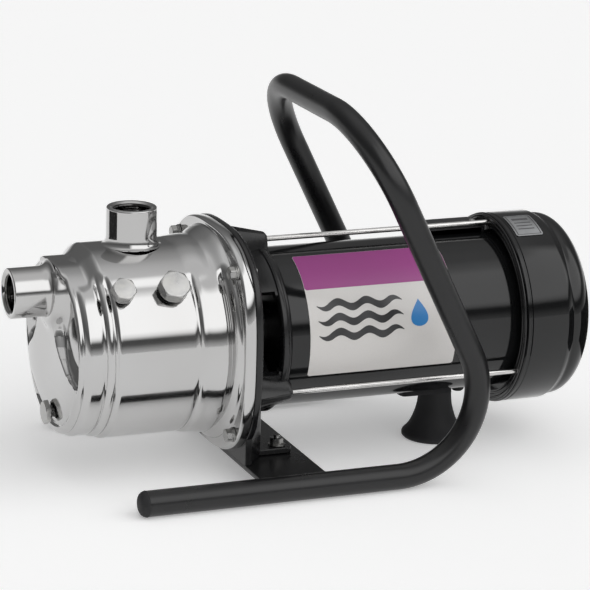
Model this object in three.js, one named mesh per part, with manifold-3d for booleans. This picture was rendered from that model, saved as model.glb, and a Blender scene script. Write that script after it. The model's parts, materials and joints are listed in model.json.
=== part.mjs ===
// A portable shallow well jet pump: a stainless jet pump end on a closed motor,
// carried on one bent tube that forms both skids and the handle.
// Millimetres, +Z up. +X runs from the suction port to the motor's rear cover.
// The origin is on the ground, under the middle of the whole pump.
import * as THREE from "three";
import { mergeVertices } from "three/addons/utils/BufferGeometryUtils.js";
import Module from "manifold-3d";

const wasm = await Module();
wasm.setup();

// ---------------------------------------------------------------- driving dimensions
const AXIS_Z = 117; // height of the motor and impeller axis
const GAP = 0.3; // clearance between neighbouring pieces
const MERGE = 1e-3; // vertices closer than this are one vertex
const ROUND = 36; // sides of a large outside circle
const INNER_ROUND = 24; // sides of the circles inside the pump
const SMALL_ROUND = 12; // sides of shanks and holes

const SHEET = 2; // wall of the stainless casing
const CASING_R = 83.6;
const CASING_RIM_R = 78.6;
const CASING_FRONT_X = -219;
const FACE_RISE = 8; // how far the middle of the front face stands out
const HUMP_R = 85.4; // smooth saddle over the ribs
const HUMP_FRONT_X = -199;
const HUMP_REAR_X = -96;
const HUMP_HALF_ANGLE = THREE.MathUtils.degToRad(41);

const FLANGE_HALF = 98; // half size of the rounded square flange
const FLANGE_POWER = 2.8; // 2 would be a circle, more is squarer
const FLANGE_FRONT_X = -83.4;
const FLANGE_LIP_X = -74.4;
const FLANGE_BOLT_OFFSET = 71.8; // bolts at plus and minus this in Y and Z

const PORT_R = 21.7;
const PORT_BORE_R = 16.6;
const PORT_ROUND = 28; // sides of a port
const SUCTION_FACE_X = -262.4;
const SUCTION_RISE = 48.3; // suction axis above the motor axis
const DISCHARGE_X = -153.2;
const DISCHARGE_FACE_RISE = 117; // discharge face above the motor axis

const PLUG_TILT = THREE.MathUtils.degToRad(47.2); // plug axes lean this far from vertical towards -Y
const VENT_PLUG_X = -182.8;
const PRIMING_PLUG_X = -138;
const DRAIN_PLUG_DROP = 60;

const ADAPTER_SHELL_R = 72.5;
const ADAPTER_FRONT_X = -74.1;
const ADAPTER_PLATE_REAR_X = -67.4;
const ADAPTER_REAR_X = -31.4;
const HUB_FRONT_X = -52.5; // the spoked hub that carries the front bearing
const HUB_R = 23.5;
const PEDESTAL_FRONT_HALF = 77;
const PEDESTAL_REAR_HALF = 56;
const PEDESTAL_REAR_X = -51;
const LUG_FRONT_R = 13.5; // the tie rod lugs taper towards the motor
const LUG_REAR_R = 6.2;

const SHELL_R = 70;
const SHELL_WALL = 2;
const SHELL_FRONT_X = -31.1;
const SHELL_REAR_X = 190;
const SHIELD_FRONT_X = 183.7;
const SHIELD_RIM_REAR_X = 185.6;
const SHIELD_REAR_X = 190.3;
const COVER_R = 85.7;
const COVER_FRONT_X = 186.2;
const COVER_INNER_R = 75;
const COVER_STEP_R = 82.4;
const COVER_REAR_X = 262.4;
const ROD_CIRCLE_R = 79.3;
const ROD_R = 2.4;

const TUBE_R = 11.1;
const TUBE_WALL = 1.6;
const TRACK_HALF = 125; // tube centre line either side of the middle
const SKID_FRONT_X = -180;
const REAR_BEND_R = 72;
const REAR_BEND_X = 48;
const LEG_LEAN = Math.atan(0.5); // legs lean back from vertical towards -X
const GRIP_X = 10.9;
const GRIP_Z = AXIS_Z + 201.2;
const GRIP_BEND_R = 77;

const BAR_FRONT_X = -73.6;
const BAR_REAR_X = -13;
const BAR_TOP_Z = 17;
const BAR_THICK = 4;
const FOOT_BOLT_X = -33.5;
const FOOT_BOLT_Y = 47;
const TAB_TOP_Z = -94; // top of the pedestal's bolted tab, from the motor axis

const REAR_FOOT_X = 138.6;

// ---------------------------------------------------------------- finishes
const FINISHES = {
  stainless: [0xc9c8c6, 0.18, 1],
  steel: [0xb8b8b8, 0.35, 1],
  glossBlack: [0x15171a, 0.22, 0.2],
  satinBlack: [0x1c1d1f, 0.45, 0.2],
  castBlack: [0x1a1b1d, 0.4, 0.3],
  rubber: [0x101112, 0.85, 0],
  plastic: [0x202226, 0.5, 0],
  brass: [0xb08d45, 0.35, 1],
  copper: [0xb46a3c, 0.4, 1],
  iron: [0x5c5d60, 0.55, 1],
  noryl: [0x2b2d30, 0.55, 0],
  ceramic: [0xe4e0d6, 0.35, 0],
  label: [0xe3e1dd, 0.35, 0],
  plate: [0xbfc1c4, 0.4, 0.8],
};

// ---------------------------------------------------------------- solid helpers
// Turns a closed three.js geometry into a solid that faces out.
function solid(geometry) {
  const bare = geometry.index ? geometry.toNonIndexed() : geometry.clone();
  bare.deleteAttribute("normal");
  bare.deleteAttribute("uv");
  const merged = mergeVertices(bare, MERGE);
  const corners = merged.index.array;
  const faces = [];
  for (let i = 0; i < corners.length; i += 3) {
    const [a, b, c] = [corners[i], corners[i + 1], corners[i + 2]];
    if (a !== b && b !== c && a !== c) faces.push(a, b, c);
  }
  const build = (list) =>
    new wasm.Manifold(
      new wasm.Mesh({
        numProp: 3,
        vertProperties: merged.attributes.position.array,
        triVerts: Uint32Array.from(list),
      }),
    );
  const made = build(faces);
  return made.volume() < 0 ? build(faces.reverse()) : made;
}

function geometryOf(shape) {
  const { numProp, vertProperties, triVerts } = shape.getMesh();
  const positions = new Float32Array((vertProperties.length / numProp) * 3);
  for (let i = 0; i < positions.length / 3; i++) {
    positions.set(vertProperties.subarray(i * numProp, i * numProp + 3), i * 3);
  }
  const geometry = new THREE.BufferGeometry();
  geometry.setAttribute("position", new THREE.BufferAttribute(positions, 3));
  geometry.setIndex(new THREE.BufferAttribute(Uint32Array.from(triVerts), 1));
  const flat = geometry.toNonIndexed();
  flat.computeVertexNormals();
  return flat;
}

const join = (first, ...others) => others.reduce((sum, s) => sum.add(s), first);
const cut = (first, ...others) => others.reduce((rest, s) => rest.subtract(s), first);

// A body of revolution about the X axis from [x, radius] points.
function turned(profile, segments = ROUND) {
  const points = profile.map(([x, radius]) => new THREE.Vector2(radius, x));
  return solid(new THREE.LatheGeometry(points, segments).rotateZ(-Math.PI / 2));
}

// A ring about the X axis; an inner radius of 0 makes a disc.
function ring(x0, x1, outer, inner = 0, segments = INNER_ROUND) {
  const edge = [
    [x0, inner],
    [x0, outer],
    [x1, outer],
    [x1, inner],
  ];
  return turned(inner > 0 ? [...edge, edge[0]] : edge, segments);
}

// An outline in the YZ plane, extruded along X.
function extrudedX(outline, x0, x1) {
  const options = { depth: x1 - x0, bevelEnabled: false, curveSegments: 12 };
  const geometry = new THREE.ExtrudeGeometry(outline, options);
  const turn = new THREE.Matrix4().makeBasis(
    new THREE.Vector3(0, 1, 0),
    new THREE.Vector3(0, 0, 1),
    new THREE.Vector3(1, 0, 0),
  );
  return solid(geometry.applyMatrix4(turn).translate(x0, 0, 0));
}

function outlineOf(points) {
  return new THREE.Shape(points.map(([y, z]) => new THREE.Vector2(y, z)));
}

function block(x0, x1, y0, y1, z0, z1) {
  const geometry = new THREE.BoxGeometry(x1 - x0, y1 - y0, z1 - z0);
  return solid(geometry.translate((x0 + x1) / 2, (y0 + y1) / 2, (z0 + z1) / 2));
}

// A cylinder, or a prism with few sides, from a point along a direction.
function rod(start, direction, length, radius, sides = SMALL_ROUND, endRadius = radius) {
  const along = new THREE.Vector3(...direction).normalize();
  const geometry = new THREE.CylinderGeometry(endRadius, radius, length, sides);
  const up = new THREE.Vector3(0, 1, 0);
  geometry.applyQuaternion(new THREE.Quaternion().setFromUnitVectors(up, along));
  const middle = along.clone().multiplyScalar(length / 2);
  geometry.translate(start[0] + middle.x, start[1] + middle.y, start[2] + middle.z);
  return solid(geometry);
}

const stepped = (start, direction, distance) =>
  start.map((value, i) => value + direction[i] * distance);

// A hexagon bolt: the head and its washer stand on `seat`, the shank runs the other way.
function bolt(seat, outward, { across, head, washerR, washer, shankR, shank }) {
  const inward = outward.map((value) => -value);
  const pieces = [rod(seat, outward, head + washer, across / Math.sqrt(3), 6)];
  if (washer > 0) pieces.push(rod(seat, outward, washer, washerR));
  pieces.push(rod(stepped(seat, outward, head / 2), inward, shank + head / 2, shankR));
  return join(...pieces);
}

// ---------------------------------------------------------------- outlines
const signedPower = (value, power) => Math.sign(value) * Math.abs(value) ** power;

// The flange's rounded square, in the YZ plane.
function flangeOutline(half, steps = 40) {
  const points = [];
  for (let i = 0; i < steps; i++) {
    const angle = (i / steps) * 2 * Math.PI;
    points.push([
      half * signedPower(Math.cos(angle), 2 / FLANGE_POWER),
      half * signedPower(Math.sin(angle), 2 / FLANGE_POWER),
    ]);
  }
  return outlineOf(points);
}

// The raised middle of the casing's front face: narrow at the suction port, wide below.
function faceOutline(inset) {
  const side = [
    [15, 72 - inset],
    [27 - inset, 62],
    [28 - inset, 40],
    [24 - inset, 18],
    [42 - inset, -6],
  ];
  const lower = [];
  for (let degrees = -20; degrees >= -160; degrees -= 17.5) {
    const angle = THREE.MathUtils.degToRad(degrees);
    lower.push([(71 - inset) * Math.cos(angle), (71 - inset) * Math.sin(angle)]);
  }
  const mirrored = side.map(([y, z]) => [-y, z]).reverse();
  return outlineOf([...side, ...lower, ...mirrored]);
}

// ---------------------------------------------------------------- pump casing
function casingFace(inset) {
  return extrudedX(
    faceOutline(inset),
    CASING_FRONT_X - FACE_RISE + inset,
    CASING_FRONT_X + 12,
  );
}

function casingOutside() {
  const skin = turned([
    [CASING_FRONT_X, 0],
    [CASING_FRONT_X, 70],
    [CASING_FRONT_X + 4, CASING_RIM_R - 0.4],
    [-202.5, CASING_RIM_R],
    [-197, 81.4],
    [-186, CASING_R],
    [-124, CASING_R],
    [-103, 85.6],
    [-93, 88.5],
    [FLANGE_FRONT_X, 94],
    [FLANGE_FRONT_X + 1, 94],
    [FLANGE_FRONT_X + 1, 0],
  ]);
  const saddle = [];
  for (let step = -5; step <= 5; step++) {
    const angle = (step / 5) * HUMP_HALF_ANGLE;
    saddle.push([HUMP_R * Math.sin(angle), HUMP_R * Math.cos(angle)]);
  }
  const hump = extrudedX(outlineOf([...saddle, [0, 0]]), HUMP_FRONT_X, HUMP_REAR_X);
  const flange = extrudedX(flangeOutline(FLANGE_HALF), FLANGE_FRONT_X, FLANGE_LIP_X);
  return join(skin, hump, casingFace(0), flange);
}

function casingInside() {
  const skin = turned([
    [CASING_FRONT_X + SHEET, 0],
    [CASING_FRONT_X + SHEET, 67],
    [CASING_FRONT_X + 6, CASING_RIM_R - SHEET],
    [-202.5, CASING_RIM_R - SHEET],
    [-194, CASING_R - SHEET],
    [-103, CASING_R - SHEET],
    [-93, 86.5],
    [FLANGE_FRONT_X + 1, 91],
    [FLANGE_LIP_X + 1, 91],
    [FLANGE_LIP_X + 1, 0],
  ]);
  const lip = extrudedX(
    flangeOutline(FLANGE_HALF - SHEET),
    FLANGE_FRONT_X + SHEET,
    FLANGE_LIP_X + 1,
  );
  return join(skin, casingFace(SHEET), lip);
}

const plugAxis = [0, -Math.sin(PLUG_TILT), Math.cos(PLUG_TILT)];
const plugSeat = (x, radius) => [x, radius * plugAxis[1], radius * plugAxis[2]];
const FACE_X = CASING_FRONT_X - FACE_RISE;

function pumpCasing() {
  const holes = [
    rod([FACE_X - 1, 0, SUCTION_RISE], [1, 0, 0], 6, PORT_R + GAP, PORT_ROUND),
    rod([DISCHARGE_X, 0, 60], [0, 0, 1], 40, PORT_R + GAP, PORT_ROUND),
    rod(plugSeat(VENT_PLUG_X, 60), plugAxis, 40, 5.5),
    rod(plugSeat(PRIMING_PLUG_X, 60), plugAxis, 40, 8.5),
    rod([FACE_X - 1, 0, -DRAIN_PLUG_DROP], [1, 0, 0], 6, 5.5),
  ];
  for (const [y, z] of boltPlaces) {
    holes.push(rod([FLANGE_FRONT_X - 1, y, z], [1, 0, 0], 5, 3.3));
  }
  return cut(casingOutside(), casingInside(), ...holes);
}

const boltPlaces = [
  [-FLANGE_BOLT_OFFSET, FLANGE_BOLT_OFFSET],
  [FLANGE_BOLT_OFFSET, FLANGE_BOLT_OFFSET],
  [FLANGE_BOLT_OFFSET, -FLANGE_BOLT_OFFSET],
  [-FLANGE_BOLT_OFFSET, -FLANGE_BOLT_OFFSET],
];

// A threaded boss about the X axis: face at x = 0, running towards +X.
function port(length, flareAt) {
  const profile = [
    [0, PORT_BORE_R],
    [0, PORT_R - 0.5],
    [0.6, PORT_R],
    [flareAt - 5, PORT_R],
    [flareAt - 1.2, PORT_R + 3],
    [flareAt, PORT_R + 3],
    [flareAt, PORT_R],
    [length, PORT_R],
    [length, PORT_BORE_R - 1],
    [24, PORT_BORE_R - 1],
    [24, PORT_BORE_R],
    [0, PORT_BORE_R],
  ];
  return turned(profile, PORT_ROUND);
}

// ---------------------------------------------------------------- adapter bracket
function adapterBracket() {
  const lobes = [0, 120, 240].map((degrees) => {
    const angle = THREE.MathUtils.degToRad(degrees);
    const y = ROD_CIRCLE_R * Math.sin(angle);
    const z = ROD_CIRCLE_R * Math.cos(angle);
    return rod([ADAPTER_PLATE_REAR_X - 1, y, z], [1, 0, 0], 38.5, LUG_FRONT_R, SMALL_ROUND, LUG_REAR_R);
  });
  const pedestal = extrudedZ(
    [
      [ADAPTER_FRONT_X, -PEDESTAL_FRONT_HALF],
      [-67.7, -PEDESTAL_FRONT_HALF],
      [PEDESTAL_REAR_X, -PEDESTAL_REAR_HALF],
      [PEDESTAL_REAR_X, PEDESTAL_REAR_HALF],
      [-67.7, PEDESTAL_FRONT_HALF],
      [ADAPTER_FRONT_X, PEDESTAL_FRONT_HALF],
    ],
    BAR_TOP_Z + GAP - AXIS_Z,
    -52,
  );
  const half = PEDESTAL_REAR_HALF;
  const tab = block(PEDESTAL_REAR_X - 1, -22, -half, half, BAR_TOP_Z + GAP - AXIS_Z, TAB_TOP_Z);
  const body = join(
    extrudedX(flangeOutline(FLANGE_HALF), ADAPTER_FRONT_X, ADAPTER_PLATE_REAR_X),
    ring(-76.8, ADAPTER_FRONT_X + 1, 95),
    ring(ADAPTER_PLATE_REAR_X - 1, ADAPTER_REAR_X, ADAPTER_SHELL_R, 20, ROUND),
    pedestal,
    tab,
    ...lobes,
  );
  const hollow = turned([
    [-62, 13],
    [-62, 66],
    [-36, 66],
    [-36, HUB_R],
    [HUB_FRONT_X, HUB_R],
    [HUB_FRONT_X, 13],
    [-62, 13],
  ]);
  const spokes = [0, 120, 240].map((degrees) =>
    block(HUB_FRONT_X, HUB_FRONT_X + 8, -5, 5, HUB_R - 1, 67).rotate([degrees, 0, 0]),
  );
  const seat = ring(-37, ADAPTER_REAR_X + 1, SHELL_R - SHELL_WALL - 1.5);
  const shaftWay = ring(-78, -30, 14);
  const bearingSeat = ring(-50, -30, 20.3);
  const pedestalCore = block(-64, -55, -48, 48, -110, -84);
  const windows = [-1, 1].map((side) => {
    const low = THREE.MathUtils.degToRad(49);
    const high = THREE.MathUtils.degToRad(109);
    const far = 95;
    return extrudedX(
      outlineOf([
        [0, 0],
        [side * far * Math.sin(low), far * Math.cos(low)],
        [side * far * 1.3, 0],
        [side * far * Math.sin(high), far * Math.cos(high)],
      ]),
      -60.5,
      -40,
    );
  });
  const windowCut = join(...windows).intersect(ring(-61, -39, ADAPTER_SHELL_R + 1, 50));
  const rodHoles = [0, 120, 240].map((degrees) => {
    const angle = THREE.MathUtils.degToRad(degrees);
    const y = ROD_CIRCLE_R * Math.sin(angle);
    const z = ROD_CIRCLE_R * Math.cos(angle);
    return rod([-48, y, z], [1, 0, 0], 30, ROD_R + GAP);
  });
  const footHoles = [-1, 1].map((side) =>
    rod([FOOT_BOLT_X, side * FOOT_BOLT_Y, -110], [0, 0, 1], 20, 3.6),
  );
  const boltHoles = boltPlaces.map(([y, z]) => rod([-80, y, z], [1, 0, 0], 20, 3.3));
  return cut(
    join(cut(body, hollow), ...spokes),
    seat,
    shaftWay,
    bearingSeat,
    pedestalCore,
    windowCut,
    ...rodHoles,
    ...footHoles,
    ...boltHoles,
  );
}

// An outline in the XY plane, extruded along Z.
function extrudedZ(points, z0, z1) {
  const outline = outlineOf(points);
  const options = { depth: z1 - z0, bevelEnabled: false };
  return solid(new THREE.ExtrudeGeometry(outline, options).translate(0, 0, z0));
}

// ---------------------------------------------------------------- impeller end
function impeller() {
  const shroud = ring(-112, -109.5, 60, 18);
  const plate = ring(-102, -99, 60, 8.4);
  const hub = ring(-110.5, -96, 14, 8.4);
  const eye = ring(-117, -110, 22, 18);
  const vanes = [];
  for (let i = 0; i < 6; i++) {
    const vane = block(-110, -101.5, 20, 58, -1.5, 1.5);
    vanes.push(vane.rotate([60 * i, 0, 0]));
  }
  return join(shroud, plate, hub, eye, ...vanes);
}

function diffuser() {
  const front = ring(-121, -118, 72, 23.5);
  const wall = ring(-119, -92, 72, 69);
  const neck = ring(-127, -119, 27, 23.5);
  const vanes = [];
  for (let i = 0; i < 6; i++) {
    vanes.push(block(-118.5, -92, 63, 70, -1.5, 1.5).rotate([60 * i, 0, 0]));
  }
  return join(front, wall, neck, ...vanes);
}

function impellerNut() {
  return cut(rod([-118.6, 0, 0], [1, 0, 0], 7.8, 9, 6), ring(-120, -109, 6.3));
}

function jetNozzle() {
  const profile = [
    [-214, 6],
    [-214, 15],
    [-204, 15],
    [-190, 8.5],
    [-190, 6],
    [-214, 6],
  ];
  return turned(profile, INNER_ROUND);
}

function venturi() {
  const profile = [
    [-186, 9],
    [-186, 15],
    [-176, 11],
    [-150, 14.5],
    [-122, 20],
    [-122, 16.5],
    [-150, 11],
    [-176, 7.5],
    [-186, 9],
  ];
  return turned(profile, INNER_ROUND);
}

// The plate behind the impeller, with the cup that holds the shaft seal.
function sealPlate() {
  const profile = [
    [-88, 12],
    [-88, 26],
    [-79.3, 26],
    [-79.3, 93],
    [-77.3, 93],
    [-77.3, 24],
    [-86, 24],
    [-86, 12],
    [-88, 12],
  ];
  return turned(profile, INNER_ROUND);
}

function coolingFan() {
  const hub = ring(-57, -53.3, 42, 8.6);
  const collar = ring(-60.5, -53.3, 13, 8.6);
  const blades = [];
  for (let i = 0; i < 8; i++) {
    blades.push(block(-60.5, -53.5, 24, 58, -1, 1).rotate([45 * i, 0, 0]));
  }
  return join(hub, collar, ...blades);
}

// ---------------------------------------------------------------- motor
function rearShield() {
  const casting = turned([
    [SHIELD_FRONT_X, COVER_INNER_R],
    [SHIELD_FRONT_X, COVER_R - 0.6],
    [SHIELD_RIM_REAR_X, COVER_R - 0.6],
    [SHIELD_RIM_REAR_X, COVER_R - 4],
    [SHIELD_REAR_X + 5.7, COVER_R - 4],
    [SHIELD_REAR_X + 5.7, 10.5],
    [SHIELD_REAR_X, 10.5],
    [SHIELD_REAR_X, 20.3],
    [172, 20.3],
    [172, 26],
    [SHIELD_REAR_X, 26],
    [SHIELD_REAR_X, COVER_INNER_R],
    [SHIELD_FRONT_X, COVER_INNER_R],
  ]);
  const vents = [];
  for (let i = 0; i < 6; i++) {
    vents.push(block(189.9, 198, -8, 8, 44, 66).rotate([60 * i + 30, 0, 0]));
  }
  const holes = rodPlaces.map(([y, z]) => rod([180, y, z], [1, 0, 0], 20, ROD_R + GAP));
  return cut(casting, ...vents, ...holes);
}

const rodPlaces = [0, 120, 240].map((degrees) => {
  const angle = THREE.MathUtils.degToRad(degrees);
  return [ROD_CIRCLE_R * Math.sin(angle), ROD_CIRCLE_R * Math.cos(angle)];
});

function motorShaft() {
  const profile = [
    [-120, 0],
    [-120, 6],
    [-110.8, 6],
    [-110.8, 8],
    [-53, 8],
    [-53, 9.9],
    [-36.5, 9.9],
    [-36.5, 12],
    [171, 12],
    [171, 10],
    [188, 10],
    [188, 0],
  ];
  return turned(profile, 20);
}

// The rear cover's outside, or its inside when inset.
function coverProfile(inset) {
  const points = [
    [COVER_FRONT_X, 0],
    [COVER_FRONT_X, COVER_R - inset],
    [227, COVER_R - inset],
    [233.5, COVER_STEP_R - inset],
    [238, COVER_STEP_R - inset],
  ];
  const roundLength = COVER_REAR_X - inset - 238;
  const flatR = 30;
  for (let step = 1; step <= 4; step++) {
    const angle = (step / 4) * (Math.PI / 2);
    const radius = flatR + (COVER_STEP_R - inset - flatR) * Math.cos(angle);
    points.push([238 + roundLength * Math.sin(angle), radius]);
  }
  return [...points, [COVER_REAR_X - inset, 0]];
}

function rearCover() {
  const inside = turned([[184, 0], [184, COVER_R - SHEET], ...coverProfile(SHEET).slice(2)]);
  return cut(turned(coverProfile(0)), inside);
}

// A thin sheet lying on a cylinder, between two angles from the top towards -Y.
function wrappedSheet(x0, x1, fromDegrees, toDegrees, inner, outer) {
  const steps = Math.ceil((toDegrees - fromDegrees) / 7);
  const arc = (radius, step) => {
    const degrees = fromDegrees + ((toDegrees - fromDegrees) * step) / steps;
    const angle = THREE.MathUtils.degToRad(degrees);
    return [-radius * Math.sin(angle), radius * Math.cos(angle)];
  };
  const points = [];
  for (let step = 0; step <= steps; step++) points.push(arc(outer, step));
  for (let step = steps; step >= 0; step--) points.push(arc(inner, step));
  return extrudedX(outlineOf(points), x0, x1);
}

function statorCore() {
  const slots = [];
  for (let i = 0; i < 8; i++) {
    slots.push(block(29, 131, -3, 3, 44, 56).rotate([45 * i, 0, 0]));
    slots.push(block(29, 131, -1, 1, 38, 45).rotate([45 * i, 0, 0]));
  }
  return cut(ring(30, 130, 67.4, 41), ...slots);
}

// ---------------------------------------------------------------- frame
// A path through given points, whose sections mitre the corners.
class PointPath extends THREE.Curve {
  constructor(points) {
    super();
    this.points = points;
  }
  getPoint(t, target = new THREE.Vector3()) {
    const last = this.points.length - 1;
    return target.copy(this.points[Math.min(last, Math.round(t * last))]);
  }
  getPointAt(u, target) {
    return this.getPoint(u, target);
  }
  getTangentAt(u) {
    const last = this.points.length - 1;
    const here = Math.min(last, Math.round(u * last));
    const back = this.points[Math.max(0, here - 1)];
    const next = this.points[Math.min(last, here + 1)];
    const at = this.points[here];
    const before = at.clone().sub(back).normalize();
    const after = next.clone().sub(at).normalize();
    return before.add(after).normalize();
  }
}

function arcPoints(centre, from, towards, radius, angle, steps) {
  const points = [];
  for (let i = 0; i <= steps; i++) {
    const a = (angle * i) / steps;
    points.push(
      centre
        .clone()
        .addScaledVector(from, radius * Math.cos(a))
        .addScaledVector(towards, radius * Math.sin(a)),
    );
  }
  return points;
}

// The near half of the frame's centre line, from the skid's front end to the grip's middle.
function nearHalf() {
  const up = new THREE.Vector3(-Math.sin(LEG_LEAN), 0, Math.cos(LEG_LEAN));
  const down = new THREE.Vector3(0, 0, -1);
  const rear = new THREE.Vector3(1, 0, 0);
  const across = new THREE.Vector3(0, 1, 0);
  const bendCentre = new THREE.Vector3(REAR_BEND_X, -TRACK_HALF, TUBE_R + REAR_BEND_R);
  const bendAngle = Math.PI / 2 + LEG_LEAN;
  const top = new THREE.Vector3(GRIP_X, -TRACK_HALF, GRIP_Z);
  const gripCentre = top.clone().addScaledVector(up, -GRIP_BEND_R);
  gripCentre.addScaledVector(across, GRIP_BEND_R);
  return [
    new THREE.Vector3(SKID_FRONT_X, -TRACK_HALF, TUBE_R),
    ...arcPoints(bendCentre, down, rear, REAR_BEND_R, bendAngle, 8),
    ...arcPoints(gripCentre, across.clone().negate(), up, GRIP_BEND_R, Math.PI / 2, 7),
  ];
}

function frameTube() {
  const near = nearHalf();
  const far = near.map((p) => new THREE.Vector3(p.x, -p.y, p.z)).reverse();
  const path = new PointPath([...near, ...far]);
  const section = new THREE.Shape().absarc(0, 0, TUBE_R, 0, 2 * Math.PI);
  const bore = new THREE.EllipseCurve(0, 0, TUBE_R - TUBE_WALL, TUBE_R - TUBE_WALL);
  section.holes.push(new THREE.Path(bore.getPoints(8)));
  const steps = path.points.length - 1;
  const options = { steps, extrudePath: path, curveSegments: 8, bevelEnabled: false };
  return solid(new THREE.ExtrudeGeometry(section, options));
}

function frameCap() {
  const plugR = 8.4;
  const profile = [
    [-7, 0],
    [-6.2, 5.5],
    [-3.8, 9],
    [-0.3, 11],
    [-0.3, plugR],
    [14, plugR],
    [14, 0],
  ];
  return turned(profile, 16);
}

function crossBar() {
  const holes = [-1, 1].map((side) =>
    rod([FOOT_BOLT_X, side * FOOT_BOLT_Y, 10], [0, 0, 1], 20, 3.6),
  );
  const half = TRACK_HALF - TUBE_R + 0.35;
  const bar = block(BAR_FRONT_X, BAR_REAR_X, -half, half, BAR_TOP_Z - BAR_THICK, BAR_TOP_Z);
  const tubes = [-1, 1].map((side) =>
    rod([BAR_FRONT_X - 5, side * TRACK_HALF, TUBE_R], [1, 0, 0], 80, TUBE_R + GAP, 24),
  );
  return cut(bar, ...holes, ...tubes);
}

function rearFoot() {
  const profile = [
    [0, 0],
    [0, 28],
    [3.5, 29],
    [6, 27.5],
    [10, 23.5],
    [30, 15.5],
    [52, 14.8],
    [52, 0],
  ];
  const cup = turned(profile, 24).rotate([0, -90, 0]);
  const shell = ring(-60, 60, SHELL_R + GAP, 0, ROUND).translate([0, 0, AXIS_Z]);
  const saddle = wrappedSheet(-38, 10, 166, 194, SHELL_R + GAP, SHELL_R + 4);
  return cut(join(cup, saddle.translate([0, 0, AXIS_Z])), shell);
}

// ---------------------------------------------------------------- assembly
const pump = new THREE.Group();
const turnedLine = new THREE.Group(); // everything built round the motor axis
turnedLine.position.z = AXIS_Z;
pump.add(turnedLine);

function place(parent, name, shape, finish) {
  const [color, roughness, metalness] = FINISHES[finish];
  const material = new THREE.MeshStandardMaterial({ color, roughness, metalness });
  const mesh = new THREE.Mesh(geometryOf(shape), material);
  mesh.name = name;
  parent.add(mesh);
  return mesh;
}

place(turnedLine, "pump_casing", pumpCasing(), "stainless");
const suction = place(turnedLine, "suction_port", port(38.5, 35.1), "stainless");
suction.position.set(SUCTION_FACE_X, 0, SUCTION_RISE);
const discharge = place(turnedLine, "discharge_port", port(37, 31.3), "stainless");
discharge.rotation.y = Math.PI / 2;
discharge.position.set(DISCHARGE_X, 0, DISCHARGE_FACE_RISE);

// Plugs and their seals, along +X before they are turned onto their own axes.
function plug({ across, head, shankR, shank }) {
  const seat = [0, 0, 0];
  return bolt(seat, [1, 0, 0], { across, head, washerR: 0, washer: 0, shankR, shank });
}
const plugs = [
  ["vent_plug", VENT_PLUG_X, { across: 19, head: 9, shankR: 5, shank: 11 }, 9.5],
  ["priming_plug", PRIMING_PLUG_X, { across: 24, head: 10, shankR: 8, shank: 12 }, 12.4],
];
for (const [name, x, sizes, sealR] of plugs) {
  const seat = HUMP_R + GAP;
  const tilt = new THREE.Quaternion().setFromUnitVectors(
    new THREE.Vector3(1, 0, 0),
    new THREE.Vector3(...plugAxis),
  );
  const seal = place(turnedLine, `${name}_seal`, ring(0, 1.6, sealR, sizes.shankR + GAP), "rubber");
  seal.quaternion.copy(tilt);
  seal.position.set(...plugSeat(x, seat));
  const made = place(turnedLine, name, plug(sizes), "steel");
  made.quaternion.copy(tilt);
  made.position.set(...plugSeat(x, seat + 1.6 + GAP));
}
const drainSeat = [FACE_X - GAP, 0, -DRAIN_PLUG_DROP];
const drainSeal = place(turnedLine, "drain_plug_seal", ring(0, 1.6, 9.5, 5.3), "rubber");
drainSeal.rotation.z = Math.PI;
drainSeal.position.set(...drainSeat);
const drain = place(turnedLine, "drain_plug", plug({ across: 19, head: 4, shankR: 5, shank: 10 }), "steel");
drain.rotation.z = Math.PI;
drain.position.set(FACE_X - 2 * GAP - 1.6, 0, -DRAIN_PLUG_DROP);

const FLANGE_BOLT = { across: 10, head: 5, washerR: 6.6, washer: 1.6, shankR: 3, shank: 18 };
boltPlaces.forEach(([y, z], i) => {
  const shape = bolt([FLANGE_FRONT_X - GAP, y, z], [-1, 0, 0], FLANGE_BOLT);
  place(turnedLine, `flange_bolt_${i + 1}`, shape, "steel");
});

place(turnedLine, "casing_gasket", ring(-81.1, -79.6, 93, 88, ROUND), "rubber");
place(turnedLine, "seal_plate", sealPlate(), "stainless");
place(turnedLine, "shaft_seal_seat", ring(-85.7, -80, 17, 10), "ceramic");
place(turnedLine, "shaft_seal_rotary", ring(-95.7, -88.4, 15, 8.4), "rubber");
place(turnedLine, "jet_nozzle", jetNozzle(), "brass");
place(turnedLine, "venturi", venturi(), "noryl");
place(turnedLine, "diffuser", diffuser(), "noryl");
place(turnedLine, "impeller", impeller(), "noryl");
place(turnedLine, "impeller_nut", impellerNut(), "brass");

place(turnedLine, "adapter_bracket", adapterBracket(), "castBlack");
place(turnedLine, "front_bearing", ring(-49.7, -37.7, 20, 10.3), "steel");
place(turnedLine, "cooling_fan", coolingFan(), "plastic");
place(turnedLine, "motor_shaft", motorShaft(), "steel");
place(turnedLine, "rotor_core", ring(30, 130, 39.8, 12.3), "iron");
place(turnedLine, "governor", ring(139, 152, 24, 12.3), "plastic");
const switchBoard = cut(ring(156, 159, 40, 27.5), block(150, 165, -41, 41, -41, -5));
place(turnedLine, "start_switch", switchBoard, "plastic");
place(turnedLine, "stator_core", statorCore(), "iron");
place(turnedLine, "front_winding", ring(8, 29.7, 61, 44), "copper");
place(turnedLine, "rear_winding", ring(130.3, 152, 61, 44), "copper");
place(turnedLine, "rear_bearing", ring(175.5, 187.5, 20, 10.3), "steel");
const shellTube = ring(SHELL_FRONT_X, SHELL_REAR_X - 0.2, SHELL_R, SHELL_R - SHELL_WALL, ROUND);
place(turnedLine, "motor_shell", shellTube, "glossBlack");
place(turnedLine, "rear_shield", rearShield(), "castBlack");
place(turnedLine, "rear_cover", rearCover(), "glossBlack");
place(turnedLine, "start_capacitor", rod([216, -38, 6], [0, 1, 0], 76, 18, 20), "plastic");
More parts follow.
